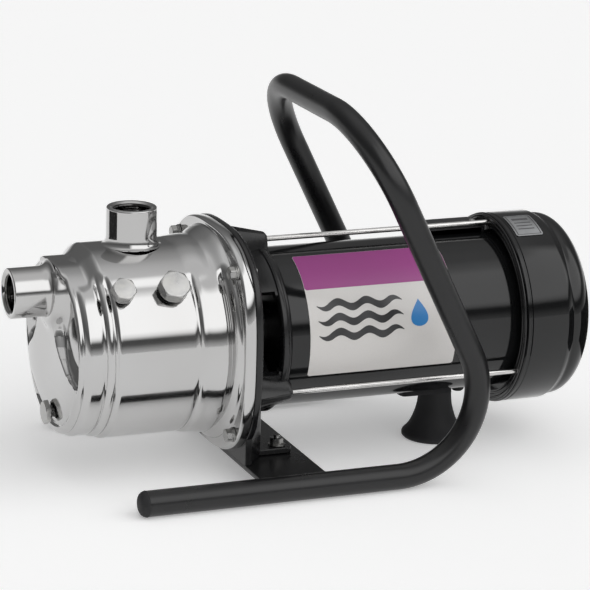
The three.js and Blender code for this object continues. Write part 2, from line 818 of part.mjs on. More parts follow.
rodPlaces.forEach(([y, z], i) => {
  const shape = rod([-47, y, z], [1, 0, 0], 250, ROD_R);
  place(turnedLine, `tie_rod_${i + 1}`, shape, "steel");
  const nut = cut(
    rod([196.3, y, z], [1, 0, 0], 5, 3.9, 6),
    rod([190, y, z], [1, 0, 0], 20, ROD_R + GAP),
  );
  place(turnedLine, `tie_rod_nut_${i + 1}`, nut, "steel");
});
const labelSheet = wrappedSheet(-13.9, 123.7, 17.5, 113.5, SHELL_R + 0.35, SHELL_R + 0.75);
place(turnedLine, "motor_label", labelSheet, "label");
const ratingSheet = wrappedSheet(193.5, 219.5, 6, 28.5, COVER_R + 0.35, COVER_R + 0.85);
place(turnedLine, "rating_plate", ratingSheet, "plate");
const aroundShell = ring(100, 200, SHELL_R + GAP, 0, ROUND);
const terminalBox = cut(block(124, 183, 2, 34, 50, 76.5), aroundShell);
place(turnedLine, "terminal_cover", terminalBox, "plastic");
const gland = cut(rod([161, 0, -60], [0, 0, -1], 16, 6.8, 16), aroundShell);
place(turnedLine, "cord_gland", gland, "rubber");

place(pump, "frame_tube", frameTube(), "satinBlack");
[-1, 1].forEach((side) => {
  const cap = place(pump, side < 0 ? "frame_cap_near" : "frame_cap_far", frameCap(), "rubber");
  cap.position.set(SKID_FRONT_X, side * TRACK_HALF, TUBE_R);
});
place(pump, "cross_bar", crossBar(), "satinBlack");
const FOOT_BOLT = { across: 10, head: 5, washerR: 6.5, washer: 1.4, shankR: 3, shank: 20 };
[-1, 1].forEach((side) => {
  const where = side < 0 ? "near" : "far";
  const y = side * FOOT_BOLT_Y;
  const footBolt = bolt([FOOT_BOLT_X, y, BAR_TOP_Z - BAR_THICK - GAP], [0, 0, -1], FOOT_BOLT);
  place(pump, `foot_bolt_${where}`, footBolt, "steel");
  const nutSeat = [FOOT_BOLT_X, y, AXIS_Z + TAB_TOP_Z + GAP];
  const nut = join(rod(nutSeat, [0, 0, 1], 1.5, 7), rod(nutSeat, [0, 0, 1], 7, 5.9, 6));
  const thread = rod([FOOT_BOLT_X, y, nutSeat[2] - 5], [0, 0, 1], 30, FOOT_BOLT.shankR + GAP);
  place(pump, `foot_nut_${where}`, cut(nut, thread), "steel");
});
const rubberFoot = place(pump, "rear_foot", rearFoot(), "rubber");
rubberFoot.position.x = REAR_FOOT_X;

export default pump;
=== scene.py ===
"""Looks for the shallow well jet pump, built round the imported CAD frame.

Lengths are millimetres about the motor axis until a mesh is made: x along the axis from the
suction side to the rear cover, y away from the plugs, z up. `emit` turns them into metres in
the part's own frame.
"""

import json
import math

import bmesh
import bpy
import numpy as np
from mathutils import Matrix, Vector

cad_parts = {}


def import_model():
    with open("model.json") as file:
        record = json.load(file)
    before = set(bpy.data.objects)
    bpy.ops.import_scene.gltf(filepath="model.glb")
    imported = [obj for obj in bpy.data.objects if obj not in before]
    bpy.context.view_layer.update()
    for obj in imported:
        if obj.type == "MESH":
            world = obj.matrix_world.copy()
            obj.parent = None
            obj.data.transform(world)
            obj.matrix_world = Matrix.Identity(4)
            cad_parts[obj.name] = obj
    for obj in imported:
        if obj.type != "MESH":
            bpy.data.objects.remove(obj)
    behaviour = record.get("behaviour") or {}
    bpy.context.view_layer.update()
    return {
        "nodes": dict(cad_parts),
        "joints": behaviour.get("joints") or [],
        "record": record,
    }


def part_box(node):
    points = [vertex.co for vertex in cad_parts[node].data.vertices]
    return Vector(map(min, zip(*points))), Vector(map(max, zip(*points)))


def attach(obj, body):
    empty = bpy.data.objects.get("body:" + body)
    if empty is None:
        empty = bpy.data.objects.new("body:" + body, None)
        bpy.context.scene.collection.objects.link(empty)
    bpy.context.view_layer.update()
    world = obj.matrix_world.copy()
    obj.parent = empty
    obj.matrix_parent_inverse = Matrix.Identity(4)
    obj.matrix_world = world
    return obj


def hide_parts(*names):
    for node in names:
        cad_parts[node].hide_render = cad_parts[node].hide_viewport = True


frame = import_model()

MM = 0.001
JOINTS = {j["name"]: j for j in frame["joints"]}
AXIS_Z = JOINTS["rotor_spin"]["pos_m"][2] / MM
SLOTS = {row["node"]: row["material_slot"] for row in frame["record"]["subparts"]}


def box(node):
    """A CAD node's box in millimetres about the motor axis."""
    low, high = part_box(node)
    shift = Vector((0, 0, AXIS_Z))
    return low / MM - shift, high / MM - shift


def centre_of(node):
    low, high = box(node)
    return (low + high) / 2


# ------------------------------------------------------------------ mesh tools
def emit(name, part, material, replaces=(), sharp=40, body="pump"):
    """Makes an object from a millimetre part, gives it a material and rides it on a body.

    Edges over `sharp` degrees stay hard.
    """
    verts, faces = part
    points = np.asarray(verts, float).reshape(-1, 3) + (0, 0, AXIS_Z)
    mesh = bpy.data.meshes.new(name)
    mesh.from_pydata((points * MM).tolist(), [], [tuple(f) for f in faces])
    mesh.validate()
    made = bmesh.new()
    made.from_mesh(mesh)
    bmesh.ops.remove_doubles(made, verts=made.verts, dist=1e-6)
    bmesh.ops.recalc_face_normals(made, faces=made.faces)
    limit = math.radians(sharp)
    for edge in made.edges:
        edge.smooth = len(edge.link_faces) == 2 and edge.calc_face_angle(0) < limit
    made.to_mesh(mesh)
    made.free()
    for polygon in mesh.polygons:
        polygon.use_smooth = True
    thing = bpy.data.objects.new(name, mesh)
    bpy.context.scene.collection.objects.link(thing)
    thing.data.materials.append(material)
    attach(thing, body)
    if replaces:
        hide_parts(*replaces)


def grid_faces(rows, columns, wrap=False, start=0):
    """Quads between rows of `columns` vertices; `wrap` closes each row into a ring."""
    faces = []
    span = columns if wrap else columns - 1
    for i in range(rows - 1):
        for j in range(span):
            k = (j + 1) % columns
            a, b = start + i * columns, start + (i + 1) * columns
            faces.append((a + j, a + k, b + k, b + j))
    return faces


def arc(centre, radius, a0, a1, steps):
    """Points of an arc in the profile plane, angles in degrees."""
    angles = np.radians(np.linspace(a0, a1, steps + 1))
    return [(centre[0] + radius * math.cos(a), centre[1] + radius * math.sin(a)) for a in angles]


def lathe(profile, segments=96):
    """Vertices and faces of [x, radius] points turned about the x axis; radius 0 closes an end."""
    verts, faces, rings = [], [], []
    for x, radius in profile:
        if radius < 1e-6:
            rings.append([len(verts)])
            verts.append((x, 0, 0))
            continue
        ring = []
        for j in range(segments):
            a = 2 * math.pi * j / segments
            ring.append(len(verts))
            verts.append((x, radius * math.sin(a), radius * math.cos(a)))
        rings.append(ring)
    for lower, upper in zip(rings, rings[1:]):
        for j in range(segments):
            k = (j + 1) % segments
            if len(lower) == 1 and len(upper) == 1:
                continue
            if len(lower) == 1:
                faces.append((lower[0], upper[k], upper[j]))
            elif len(upper) == 1:
                faces.append((lower[j], lower[k], upper[0]))
            else:
                faces.append((lower[j], lower[k], upper[k], upper[j]))
    return verts, faces


def combine(*parts):
    """Joins (verts, faces) pairs into one pair."""
    verts, faces = [], []
    for v, f in parts:
        start = len(verts)
        verts.extend(v)
        faces.extend(tuple(i + start for i in face) for face in f)
    return verts, faces


def moved(part, matrix):
    verts, faces = part
    return [tuple(matrix @ Vector(v)) for v in verts], faces


def shifted(part, x=0, y=0, z=0):
    return moved(part, Matrix.Translation((x, y, z)))


def aimed(part, direction, place=(0, 0, 0)):
    """Turns a part made along +x so that it runs along `direction` from `place`."""
    turn = Vector((1, 0, 0)).rotation_difference(Vector(direction)).to_matrix().to_4x4()
    return moved(part, Matrix.Translation(place) @ turn)


def smoothstep(low, high, value):
    t = np.clip((np.asarray(value, float) - low) / (high - low), 0, 1)
    return t * t * (3 - 2 * t)


def tube(path, radius, sides=32):
    """A round tube along a list of points."""
    points = [Vector(p) for p in path]
    tangents = []
    for i, here in enumerate(points):
        back, ahead = points[max(i - 1, 0)], points[min(i + 1, len(points) - 1)]
        tangents.append((ahead - back).normalized())
    side = tangents[0].orthogonal().normalized()
    verts = []
    for here, along in zip(points, tangents):
        side = (side - along * side.dot(along)).normalized()
        up = along.cross(side)
        for j in range(sides):
            a = 2 * math.pi * j / sides
            verts.append(tuple(here + side * radius * math.cos(a) + up * radius * math.sin(a)))
    faces = grid_faces(len(points), sides, wrap=True)
    faces.append(tuple(range(sides))[::-1])
    last = (len(points) - 1) * sides
    faces.append(tuple(range(last, last + sides)))
    return verts, faces


def prism(outline, x0, x1, bevel=0.0):
    """A closed (y, z) outline extruded along x, with its rims pulled in by `bevel`."""
    outline = [Vector((y, z)) for y, z in outline]
    count = len(outline)
    centre = sum(outline, Vector((0, 0))) / count
    inner = [p - (p - centre).normalized() * bevel for p in outline]
    stages = [(x0, inner), (x0 + bevel, outline), (x1 - bevel, outline), (x1, inner)]
    if bevel == 0:
        stages = [(x0, outline), (x1, outline)]
    verts = [(x, p.x, p.y) for x, ring in stages for p in ring]
    faces = grid_faces(len(stages), count, wrap=True)
    faces.append(tuple(range(count))[::-1])
    faces.append(tuple(range((len(stages) - 1) * count, len(stages) * count)))
    return verts, faces


def slab(x0, x1, y0, y1, z0, z1):
    verts = [(x, y, z) for x in (x0, x1) for y in (y0, y1) for z in (z0, z1)]
    faces = [(0, 1, 3, 2), (4, 6, 7, 5), (0, 4, 5, 1), (2, 3, 7, 6), (0, 2, 6, 4), (1, 5, 7, 3)]
    return verts, faces


# ------------------------------------------------------------------ materials
def new_material(name, base, roughness, metallic=0.0, coat=0.0, coat_roughness=0.05, specular=0.5):
    """A node material with its constants on the shader's own sockets."""
    made = bpy.data.materials.new(name)
    made.use_nodes = True
    shader = made.node_tree.nodes["Principled BSDF"]
    shader.inputs["Base Color"].default_value = (*base, 1)
    shader.inputs["Roughness"].default_value = roughness
    shader.inputs["Metallic"].default_value = metallic
    shader.inputs["Coat Weight"].default_value = coat
    shader.inputs["Coat Roughness"].default_value = coat_roughness
    shader.inputs["Specular IOR Level"].default_value = specular
    return made


class Nodes:
    """Small helper that adds and links nodes in one material."""

    def __init__(self, material):
        self.tree = material.node_tree
        self.shader = self.tree.nodes["Principled BSDF"]
        self.place = self.add("ShaderNodeTexCoord").outputs["Object"]

    def add(self, kind, **settings):
        node = self.tree.nodes.new(kind)
        for key, value in settings.items():
            setattr(node, key, value)
        return node

    def link(self, output, socket):
        self.tree.links.new(output, socket)

    def stretched(self, scale):
        """Object coordinates in metres, multiplied by a scale per axis."""
        node = self.add("ShaderNodeMapping")
        node.inputs["Scale"].default_value = scale
        self.link(self.place, node.inputs["Vector"])
        return node.outputs["Vector"]

    def noise(self, scale, size=1.0, detail=3.0, roughness=0.55):
        node = self.add("ShaderNodeTexNoise")
        node.inputs["Scale"].default_value = size
        node.inputs["Detail"].default_value = detail
        node.inputs["Roughness"].default_value = roughness
        self.link(self.stretched(scale), node.inputs["Vector"])
        return node.outputs["Fac"]

    def span(self, value, low, high, from_low=0.3, from_high=0.7):
        """Maps a noise value onto a range."""
        node = self.add("ShaderNodeMapRange")
        node.inputs["From Min"].default_value = from_low
        node.inputs["From Max"].default_value = from_high
        node.inputs["To Min"].default_value = low
        node.inputs["To Max"].default_value = high
        self.link(value, node.inputs["Value"])
        return node.outputs["Result"]

    def tint(self, value, dark, light):
        """Blends two colours by a 0 to 1 value."""
        node = self.add("ShaderNodeMix", data_type="RGBA")
        node.inputs["A"].default_value = (*dark, 1)
        node.inputs["B"].default_value = (*light, 1)
        self.link(value, node.inputs["Factor"])
        return node.outputs["Result"]

    def bump(self, height, distance, strength=1.0, normal=None):
        node = self.add("ShaderNodeBump")
        node.inputs["Distance"].default_value = distance
        node.inputs["Strength"].default_value = strength
        self.link(height, node.inputs["Height"])
        if normal is not None:
            self.link(normal, node.inputs["Normal"])
        return node.outputs["Normal"]

    def colour(self, output):
        self.link(output, self.shader.inputs["Base Color"])

    def rough(self, output):
        self.link(output, self.shader.inputs["Roughness"])

    def normal(self, output):
        self.link(output, self.shader.inputs["Normal"])


def polished_steel(name, tone=0.54, rough=(0.06, 0.13), grain=(4, 220, 220), depth=2e-6):
    """Bright drawn stainless: faint polishing lines, cloudy smudges and a little colour drift."""
    made = new_material(name, (tone, tone * 0.99, tone * 0.975), rough[0], metallic=1.0)
    n = Nodes(made)
    cloud = n.noise((14, 14, 14), detail=4)
    lines = n.noise(grain, size=6, detail=4, roughness=0.7)
    n.rough(n.span(cloud, rough[0], rough[1]))
    drift = n.span(n.noise((9, 9, 9), detail=2), 0, 1)
    n.colour(n.tint(drift, (tone * 0.94, tone * 0.93, tone * 0.92), (tone * 1.04,) * 3))
    n.normal(n.bump(lines, depth))
    return made


def scaled(colour, factor):
    """A colour times one factor, or times a factor per channel."""
    return tuple(min(c * f, 1) for c, f in zip(colour, np.broadcast_to(factor, 3).tolist()))


def mottled(name, base, rough, cloud, grain, depth, dark, light, **shader):
    """A finish whose gloss and tone drift with a soft noise, over the bump of a fine one.

    `cloud` and `grain` are (scale, detail) pairs of the two noises, a scale being a number or
    one number per axis; `dark` and `light` scale the base colour.
    """
    made = new_material(name, base, rough[0], **shader)
    n = Nodes(made)
    (cloud_scale, cloud_detail), (grain_scale, grain_detail) = cloud, grain
    fine = n.noise(np.broadcast_to(grain_scale, 3).tolist(), detail=grain_detail)
    drift = n.noise((cloud_scale,) * 3, detail=cloud_detail)
    n.rough(n.span(drift, *rough))
    n.colour(n.tint(n.span(drift, 0, 1), scaled(base, dark), scaled(base, light)))
    n.normal(n.bump(fine, depth))
    return made


def plated_steel(name, tone=0.55, rough=(0.2, 0.38)):
    """Zinc plate with a fine mottled face."""
    base = (tone, tone, tone * 0.98)
    dark, light = (0.82, 0.82, 0.82 / 0.98), (1.1, 1.09, 1.05 / 0.98)
    return mottled(name, base, rough, (120, 3), (700, 4), 8e-6, dark, light, metallic=1.0)


def powder_coat(name, base=(0.006, 0.006, 0.0065), rough=(0.26, 0.34), grain=900, depth=1.0e-5):
    """Satin black powder coat with its fine pebbled skin."""
    return mottled(name, base, rough, (30, 4), (grain, 2), depth, 1, 1.5)


def moulded_rubber(name, base=(0.012, 0.012, 0.013)):
    return mottled(name, base, (0.62, 0.85), (40, 5), (650, 4), 3e-5, 1, 2.2, specular=0.35)


def moulded_plastic(name, base, rough=(0.35, 0.5)):
    return mottled(name, base, rough, (45, 3), (800, 3), 1.2e-5, 0.85, 1.15)


def metal(name, base, rough=(0.25, 0.4), grain=500):
    return mottled(name, base, rough, (70, 3), (grain, 3), 5e-6, 0.85, 1.1, metallic=1.0)


def gloss_paint(name, base=(0.004, 0.0042, 0.0045), rough=(0.07, 0.12)):
    """Sprayed gloss black with slight orange peel, dust and handling marks."""
    made = new_material(name, base, rough[0])
    n = Nodes(made)
    smudge = n.noise((22, 22, 22), detail=5, roughness=0.6)
    n.rough(n.span(smudge, *rough))
    n.colour(n.tint(n.span(smudge, 0, 1), base, scaled(base, 1.7)))
    n.normal(n.bump(n.noise((300, 300, 300), detail=2), 6e-6))
    return made


def printed_film(name, tone, rough=(0.28, 0.36)):
    """Label film in one printed colour, with a faint ripple where it lies on the shell."""
    made = new_material(name, tone, rough[0], coat=0.25, coat_roughness=0.2)
    n = Nodes(made)
    ripple = n.noise((12, 60, 60), detail=2)
    speck = n.noise((900, 900, 900), detail=2)
    n.rough(n.span(ripple, *rough))
    n.colour(n.tint(n.span(speck, 0, 1), scaled(tone, 0.97), tone))
    n.normal(n.bump(ripple, 2e-5))
    return made


STAINLESS = polished_steel("stainless")
PORT_STEEL = polished_steel("port_steel", grain=(260, 260, 4))
PORT_STEEL_X = polished_steel("port_steel_x", grain=(4, 260, 260))
ZINC = plated_steel("zinc", tone=0.4)
PLUG_ZINC = plated_steel("plug_zinc", tone=0.5, rough=(0.24, 0.42))
ROD_STEEL = metal("rod_steel", (0.68, 0.67, 0.66), rough=(0.18, 0.3), grain=(20, 900, 900))
GLOSS = gloss_paint("gloss_black")
CAST = powder_coat("cast_black", rough=(0.2, 0.3), grain=420, depth=1.5e-5)
SATIN = powder_coat("satin_black")
RUBBER = moulded_rubber("rubber")
CAP_RUBBER = moulded_rubber("cap_rubber", (0.016, 0.016, 0.017))
BLACK_PLASTIC = moulded_plastic("black_plastic", (0.02, 0.02, 0.022))
GREY_PLASTIC = moulded_plastic("grey_plastic", (0.09, 0.095, 0.1))
BRASS = metal("brass", (0.69, 0.5, 0.24))
COPPER = metal("copper", (0.62, 0.29, 0.13))
IRON = metal("core_iron", (0.28, 0.28, 0.29), rough=(0.45, 0.6), grain=(2000, 60, 60))
CERAMIC = moulded_plastic("ceramic", (0.85, 0.83, 0.78), rough=(0.2, 0.3))
LABEL_WHITE = printed_film("label_white", (0.72, 0.70, 0.68))
LABEL_BAND = printed_film("label_band", (0.33, 0.035, 0.235))
LABEL_INK = printed_film("label_ink", (0.03, 0.03, 0.032))
LABEL_BLUE = printed_film("label_blue", (0.03, 0.22, 0.55))
SILVER = metal("silver_sheet", (0.55, 0.56, 0.57), rough=(0.3, 0.42), grain=(40, 900, 900))
SILVER_INK = printed_film("silver_ink", (0.09, 0.09, 0.095))

INNER_FINISHES = {
    "polished_stainless": STAINLESS,
    "stamped_stainless": STAINLESS,
    "zinc_steel": ZINC,
    "bright_steel": ROD_STEEL,
    "gloss_black_paint": GLOSS,
    "cast_black_paint": CAST,
    "satin_black_paint": SATIN,
    "black_rubber": RUBBER,
    "black_plastic": BLACK_PLASTIC,
    "grey_plastic": GREY_PLASTIC,
    "brass": BRASS,
    "copper_winding": COPPER,
    "core_iron": IRON,
    "seal_ceramic": CERAMIC,
    "label_sheet": LABEL_WHITE,
    "silver_sheet": SILVER,
}


def finish_cad_nodes():
    """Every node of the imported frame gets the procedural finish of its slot."""
    for name, slot in SLOTS.items():
        materials = frame["nodes"][name].data.materials
        materials.clear()
        materials.append(INNER_FINISHES[slot])


# ------------------------------------------------------------------ pump casing
CASING_LOW, CASING_HIGH = box("pump_casing")
FLANGE_HALF = CASING_HIGH.y
FLANGE_POWER = 2.8
FLANGE_FRONT = CASING_HIGH.x - 9
SUCTION_X = box("suction_port")[0].x
SUCTION_RISE = centre_of("suction_port").z
DISCHARGE_X = centre_of("discharge_port").x
DISCHARGE_TOP = box("discharge_port")[1].z
PORT_R = 21.7
FACE_X = CASING_LOW.x  # the front of the raised tongue
BARREL_START = -221.0  # where the rounded rim turns into the barrel
FACE_R = 69.0  # the face proper lies inside this radius

# Cusped grooves pressed into the barrel: centre, half width, depth.
GROOVES = [
    (-218.4, 4.6, 2.0),
    (-199.8, 5.0, 2.2),
    (-191.5, 4.2, 2.2),
    (-117.6, 6.0, 1.8),
    (-91.0, 5.5, 2.6),
]
# Steps up of the barrel's radius: from x, to x, rise.
STEPS = [
    (-202, -197.6, 1.9),
    (-193.5, -189.5, 2.1),
    (-119.5, -115.5, 1.7),
    (-112, -96, 1.3),
    (-92, -84.5, 6.0),
]


def ribbed_radius(x):
    radius = 79.6 - 2.6 * (1 - smoothstep(BARREL_START - 1, -213, x))
    for low, high, rise in STEPS:
        radius = radius + rise * smoothstep(low, high, x)
    for centre, half, depth in GROOVES:
        radius = radius - depth * np.clip(1 - np.abs(x - centre) / half, 0, 1) ** 2
    return radius


def saddle_radius(x):
    """The smooth crown over the top, where the ribs fade out."""
    rise = 76.2 + 9.4 * smoothstep(-207, -194, x) + 1.6 * smoothstep(-122, -104, x)
    return rise + 6.5 * smoothstep(-100, -84, x)


def land_height(x):
    """The flat lands across the top: the low bridge behind the suction port, then the crown."""
    return 74.0 + 10.2 * np.clip((x + 205.9) / 11.5, 0, 1) + 14.0 * smoothstep(-121, -96, x)


def barrel_radius(x, theta):
    """Radius of the barrel at x and at an angle from the top, in radians."""
    angle = np.degrees(np.abs(theta))
    edge = 41 - 6 * np.exp(-(((x + 199) / 7) ** 2))
    crown = 1 - smoothstep(edge - 7, edge + 3, angle)
    radius = ribbed_radius(x) * (1 - crown) + saddle_radius(x) * crown
    flat = land_height(x) / np.maximum(np.cos(theta), 0.2)
    soft = 0.35
    return -soft * np.logaddexp(-radius / soft, -flat / soft)


# Near edge of the tongue on the front face: height, half width.
TONGUE = [
    (-80, 95),
    (-30, 78),
    (-21, 66),
    (-13, 45),
    (-3, 29),
    (4, 20.5),
    (12, 15),
    (18, 13.5),
    (27, 17),
    (38, 21),
    (57, 21),
    (68, 16),
    (80, 14),
]


FAR_TONGUE = [(-80, 95), (-30, 78), (-16, 60), (-6, 46), (5, 38), (17, 33), (37, 33), (57, 33), (80, 27)]


def tongue_half(y, z):
    """Half width of the tongue: it runs out wider on the far side."""
    near = np.interp(z, *zip(*TONGUE))
    far = np.interp(z, *zip(*FAR_TONGUE))
    return np.where(y < 0, near, far)


def face_x(y, z):
    """Front face: a raised tongue that carries the suction port, with a pocket on either side."""
    radius = np.hypot(y, z)
    dome = FACE_X + 0.8 + 1.9 * (radius / FACE_R) ** 6
    fold = np.interp(y, (-62, -40, -18, 14, 44), (-41, -35, -31, -31, -36))
    dome = dome + 0.06 * np.maximum(fold - z, 0)
    to_port = np.hypot(y, z - SUCTION_RISE)
    collar = -5.0 * np.exp(-((np.maximum(to_port - 24, 0) / 7.5) ** 2))
    outside = np.abs(y) - tongue_half(y, z)
    depth = 13.0 * smoothstep(-34, 16, z)
    wall = smoothstep(0, 4.2, outside) * (0.6 + 0.4 * smoothstep(2, 26, outside))
    return dome + collar + depth * wall * smoothstep(27, 31, to_port)


def pocket_weight(theta):
    """How far the rim stands free of the face beside the pockets: 1 there, 0 below and on top."""
    angle = np.degrees(np.abs(theta))
    return smoothstep(24, 36, angle) * (1 - smoothstep(86, 116, angle))


# The rounded rim between the face and the barrel, row by row as (x, radius) beside a pocket,
# below the pockets and on top.
RIM = [
    ((-216.2, 69.9), (-224.2, 70.2), (-226.1, 70.4)),
    ((-219.9, 70.6), (-223.9, 71.4), (-226.0, 71.7)),
    ((-222.3, 71.6), (-223.6, 72.5), (-225.8, 72.8)),
    ((-223.4, 72.9), (-223.2, 73.6), (-225.4, 73.5)),
    ((-223.6, 74.1), (-222.7, 74.6), (-224.7, 73.9)),
    ((-223.1, 75.2), (-222.2, 75.4), (-223.6, 74.0)),
    ((-222.2, 76.0), (-221.6, 76.1), (-222.4, 74.0)),
]


def casing_mesh(turns=480):
    theta = np.linspace(-math.pi, math.pi, turns, endpoint=False)
    sin, cos = np.sin(theta), np.cos(theta)
    rows = []
    # front face, then its rounded rim
    for t in np.linspace(0.02, 1, 110):
        reach = np.full(turns, FACE_R * t)
        rows.append((face_x(-reach * sin, reach * cos), reach))
    pocket = pocket_weight(theta)
    bridge = 1 - smoothstep(21, 30, np.degrees(np.abs(theta)))
    plain = np.clip(1 - pocket - bridge, 0, 1)
    end_r = barrel_radius(np.full(turns, BARREL_START), theta)
    for beside, below, above in RIM:
        x = beside[0] * pocket + below[0] * plain + above[0] * bridge
        swell = (end_r / 76.4) * (pocket + plain) + (end_r / 74.0) * bridge
        r = (beside[1] * pocket + below[1] * plain + above[1] * bridge) * swell
        rows.append((x / (pocket + plain + bridge), r / (pocket + plain + bridge)))
    rows.append((np.full(turns, BARREL_START), end_r))
    for x in np.linspace(BARREL_START, FLANGE_FRONT - 1.2, 240)[1:]:
        rows.append((np.full(turns, x), barrel_radius(x, theta)))
    # flange: a fillet, the flat lobes, the rolled edge and the lip
    square = flange_radius(theta, FLANGE_HALF)
    root = rows[-1][1]
    for t, drop in [(0.1, 0.3), (0.25, 0), (0.6, 0), (0.94, 0)]:
        rows.append((np.full(turns, FLANGE_FRONT - drop), root + (square - 3.2 - root) * t))
    for a in np.linspace(0, 90, 7):
        swell = math.radians(a)
        x = FLANGE_FRONT + 3.2 - 3.2 * math.cos(swell) - 0.9 * math.sin(2 * swell)
        rows.append((np.full(turns, x), square - 3.2 + 3.2 * math.sin(swell)))
    rear = CASING_HIGH.x
    for x, inset in [(rear - 0.4, 0), (rear, 0.4), (rear, 1.6), (FLANGE_FRONT + 3, 2.2)]:
        rows.append((np.full(turns, x), square - inset))
    inner_end = 86.0
    rows.append((np.full(turns, FLANGE_FRONT + 2.2), np.full(turns, inner_end)))
    # the inside wall runs back to the front face
    for x, radius in [(-100, 82), (-185, 80), (-214, 73), (-217.5, 66), (-217.5, 1.2)]:
        rows.append((np.full(turns, x), np.full(turns, radius)))
    verts = [(rows[0][0][0], 0, 0)]
    for x, radius in rows:
        verts.extend(zip(x, -radius * sin, radius * cos))
    faces = grid_faces(len(rows), turns, wrap=True, start=1)
    faces += [(0, 1 + (j + 1) % turns, 1 + j) for j in range(turns)]
    last = 1 + (len(rows) - 1) * turns
    faces.append(tuple(range(last, last + turns)))
    return verts, faces


def flange_radius(theta, half):
    """Distance from the axis to the flange's rounded square outline."""
    power = FLANGE_POWER
    return half / (np.abs(np.cos(theta)) ** power + np.abs(np.sin(theta)) ** power) ** (1 / power)


def pump_casing():
    emit("casing_shell", casing_mesh(), STAINLESS, ["pump_casing"], sharp=50)


# ------------------------------------------------------------------ ports, plugs and bolts
def port_profile(length, flare_at, flare_r):
    """A threaded port boss with its face at x = 0, running towards +x."""
    bore = 16.6
    outline = [(length, bore - 1), (22, bore - 1)]
    pitch, depth = 2.3, 1.2
    for i in range(8, 0, -1):
        x = i * pitch
        outline.append((x + pitch * 0.5, bore - 0.35))
        outline += [(x + pitch * 0.12, bore + depth), (x - pitch * 0.12, bore + depth)]
    outline += [(1.6, bore - 0.35), (0.3, bore + 1.2), (0, bore + 1.9)]
    outline += [(0, PORT_R - 1.3)] + arc((1.3, PORT_R - 1.3), 1.3, 180, 90, 5)
    root = flare_at - 9
    outline += [(1.7, PORT_R), (2.6, PORT_R), (root - 0.8, PORT_R), (root, PORT_R)]
    for i in range(1, 11):
        t = i / 10
        outline.append((root + (flare_at - root) * t, PORT_R + flare_r * (1 - math.sqrt(1 - t ** 2.2))))
    outline += [(flare_at + 0.5, PORT_R + flare_r), (flare_at + 0.5, PORT_R - 0.4)]
    outline += [(length, PORT_R - 0.4), (length, bore - 1)]
    return outline


def ports():
    suction = lathe(port_profile(38.5, 35.2, 5.5), 128)
    suction = shifted(suction, x=SUCTION_X, z=SUCTION_RISE)
    emit("suction_boss", suction, PORT_STEEL_X, ["suction_port"])
    discharge = lathe(port_profile(37, 33.0, 4.2), 128)
    discharge = aimed(discharge, (0, 0, -1), (DISCHARGE_X, 0, DISCHARGE_TOP))
    emit("discharge_boss", discharge, PORT_STEEL, ["discharge_port"])


def hex_rows(across, height, chamfer, base=0.0, dome=0.0, per_side=12):
    """A hexagon head along +x from `base`, its outer corners turned off by a chamfer cone."""
    count = 6 * per_side
    angles = [2 * math.pi * (j + 0.5) / count for j in range(count)]
    flat = across / 2

    def hexagon(a):
        return flat / math.cos((a + math.pi / 6) % (math.pi / 3) - math.pi / 6)

    stages = [(0.0, 0.25), (0.25, 0.0)]
    stages += [(height - chamfer + chamfer * t, None) for t in np.linspace(-1.2, 1, 12)]
    verts = []
    for x, inset in stages:
        for a in angles:
            reach = hexagon(a)
            if inset is not None:
                reach -= inset
            else:
                reach = min(reach, flat * 0.97 + (height - x) * 1.9)
            verts.append((base + x, reach * math.sin(a), reach * math.cos(a)))
    for share, lift in [(0.9, 0.02), (0.55, 0.5), (0.2, 0.95)]:
        for a in angles:
            reach = flat * share
            verts.append((base + height + dome * lift, reach * math.sin(a), reach * math.cos(a)))
    faces = grid_faces(len(stages) + 3, count, wrap=True)
    faces.append(tuple(range(count))[::-1])
    last = (len(stages) + 2) * count
    faces.append(tuple(range(last, last + count)))
    return verts, faces


def washer(x0, x1, outer, inner=None):
    hole = inner if inner else 0
    outline = [(x0, hole), (x0, outer - 0.3), (x0 + 0.3, outer)]
    outline += [(x1 - 0.35, outer), (x1, outer - 0.4), (x1, hole)]
    if hole:
        outline.append(outline[0])
    return lathe(outline, 64)


def shank(x0, x1, radius, pitch=1.25):
    """A threaded shank along x with chamfered ends."""
    outline = [(x0, 0), (x0, radius)]
    x = x0 + pitch
    while x < x1 - pitch:
        outline += [(x, radius), (x + pitch / 2, radius * 0.86)]
        x += pitch
    outline += [(x1 - 0.6, radius), (x1, radius * 0.8), (x1, 0)]
    return lathe(outline, 32)


def plug_pieces():
    for name, across, sits in (("vent_plug", 19, 9), ("priming_plug", 24, 10)):
        axis = Vector(JOINTS[name + "_out"]["axis"])
        seat = centre_of(name + "_seal") - axis * 0.8
        outer = across * 0.41
        shank_r = 5 if name == "vent_plug" else 8
        seal = aimed(washer(0, 1.6, outer, shank_r + 0.3), axis, seat)
        emit(name + "_washer", seal, RUBBER, [name + "_seal"], body=name)
        rim = across * 0.52
        flange = lathe([(1.9, 0), (1.9, rim), (2.3, across * 0.53), (3.0, rim), (3.0, 0)], 72)
        head = combine(
            flange,
            hex_rows(across, sits - 1.0, 1.9, base=2.9, dome=0.5),
            shank(-10, 2.2, shank_r),
        )
        emit(name + "_head", aimed(head, axis, seat), PLUG_ZINC, [name], sharp=32, body=name)
    seat = Vector((box("drain_plug_seal")[1].x + 1.7, 0, centre_of("drain_plug_seal").z))
    seal = aimed(washer(0, 0.9, 7.6, 5.3), (-1, 0, 0), seat)
    emit("drain_plug_washer", seal, RUBBER, ["drain_plug_seal"], body="drain_plug")
    head = combine(
        hex_rows(19, 4.3, 1.3, base=1.1, dome=0.3),
        shank(-9, 1.4, 5),
    )
    head = aimed(head, (-1, 0, 0), seat)
    emit("drain_plug_head", head, PLUG_ZINC, ["drain_plug"], sharp=32, body="drain_plug")


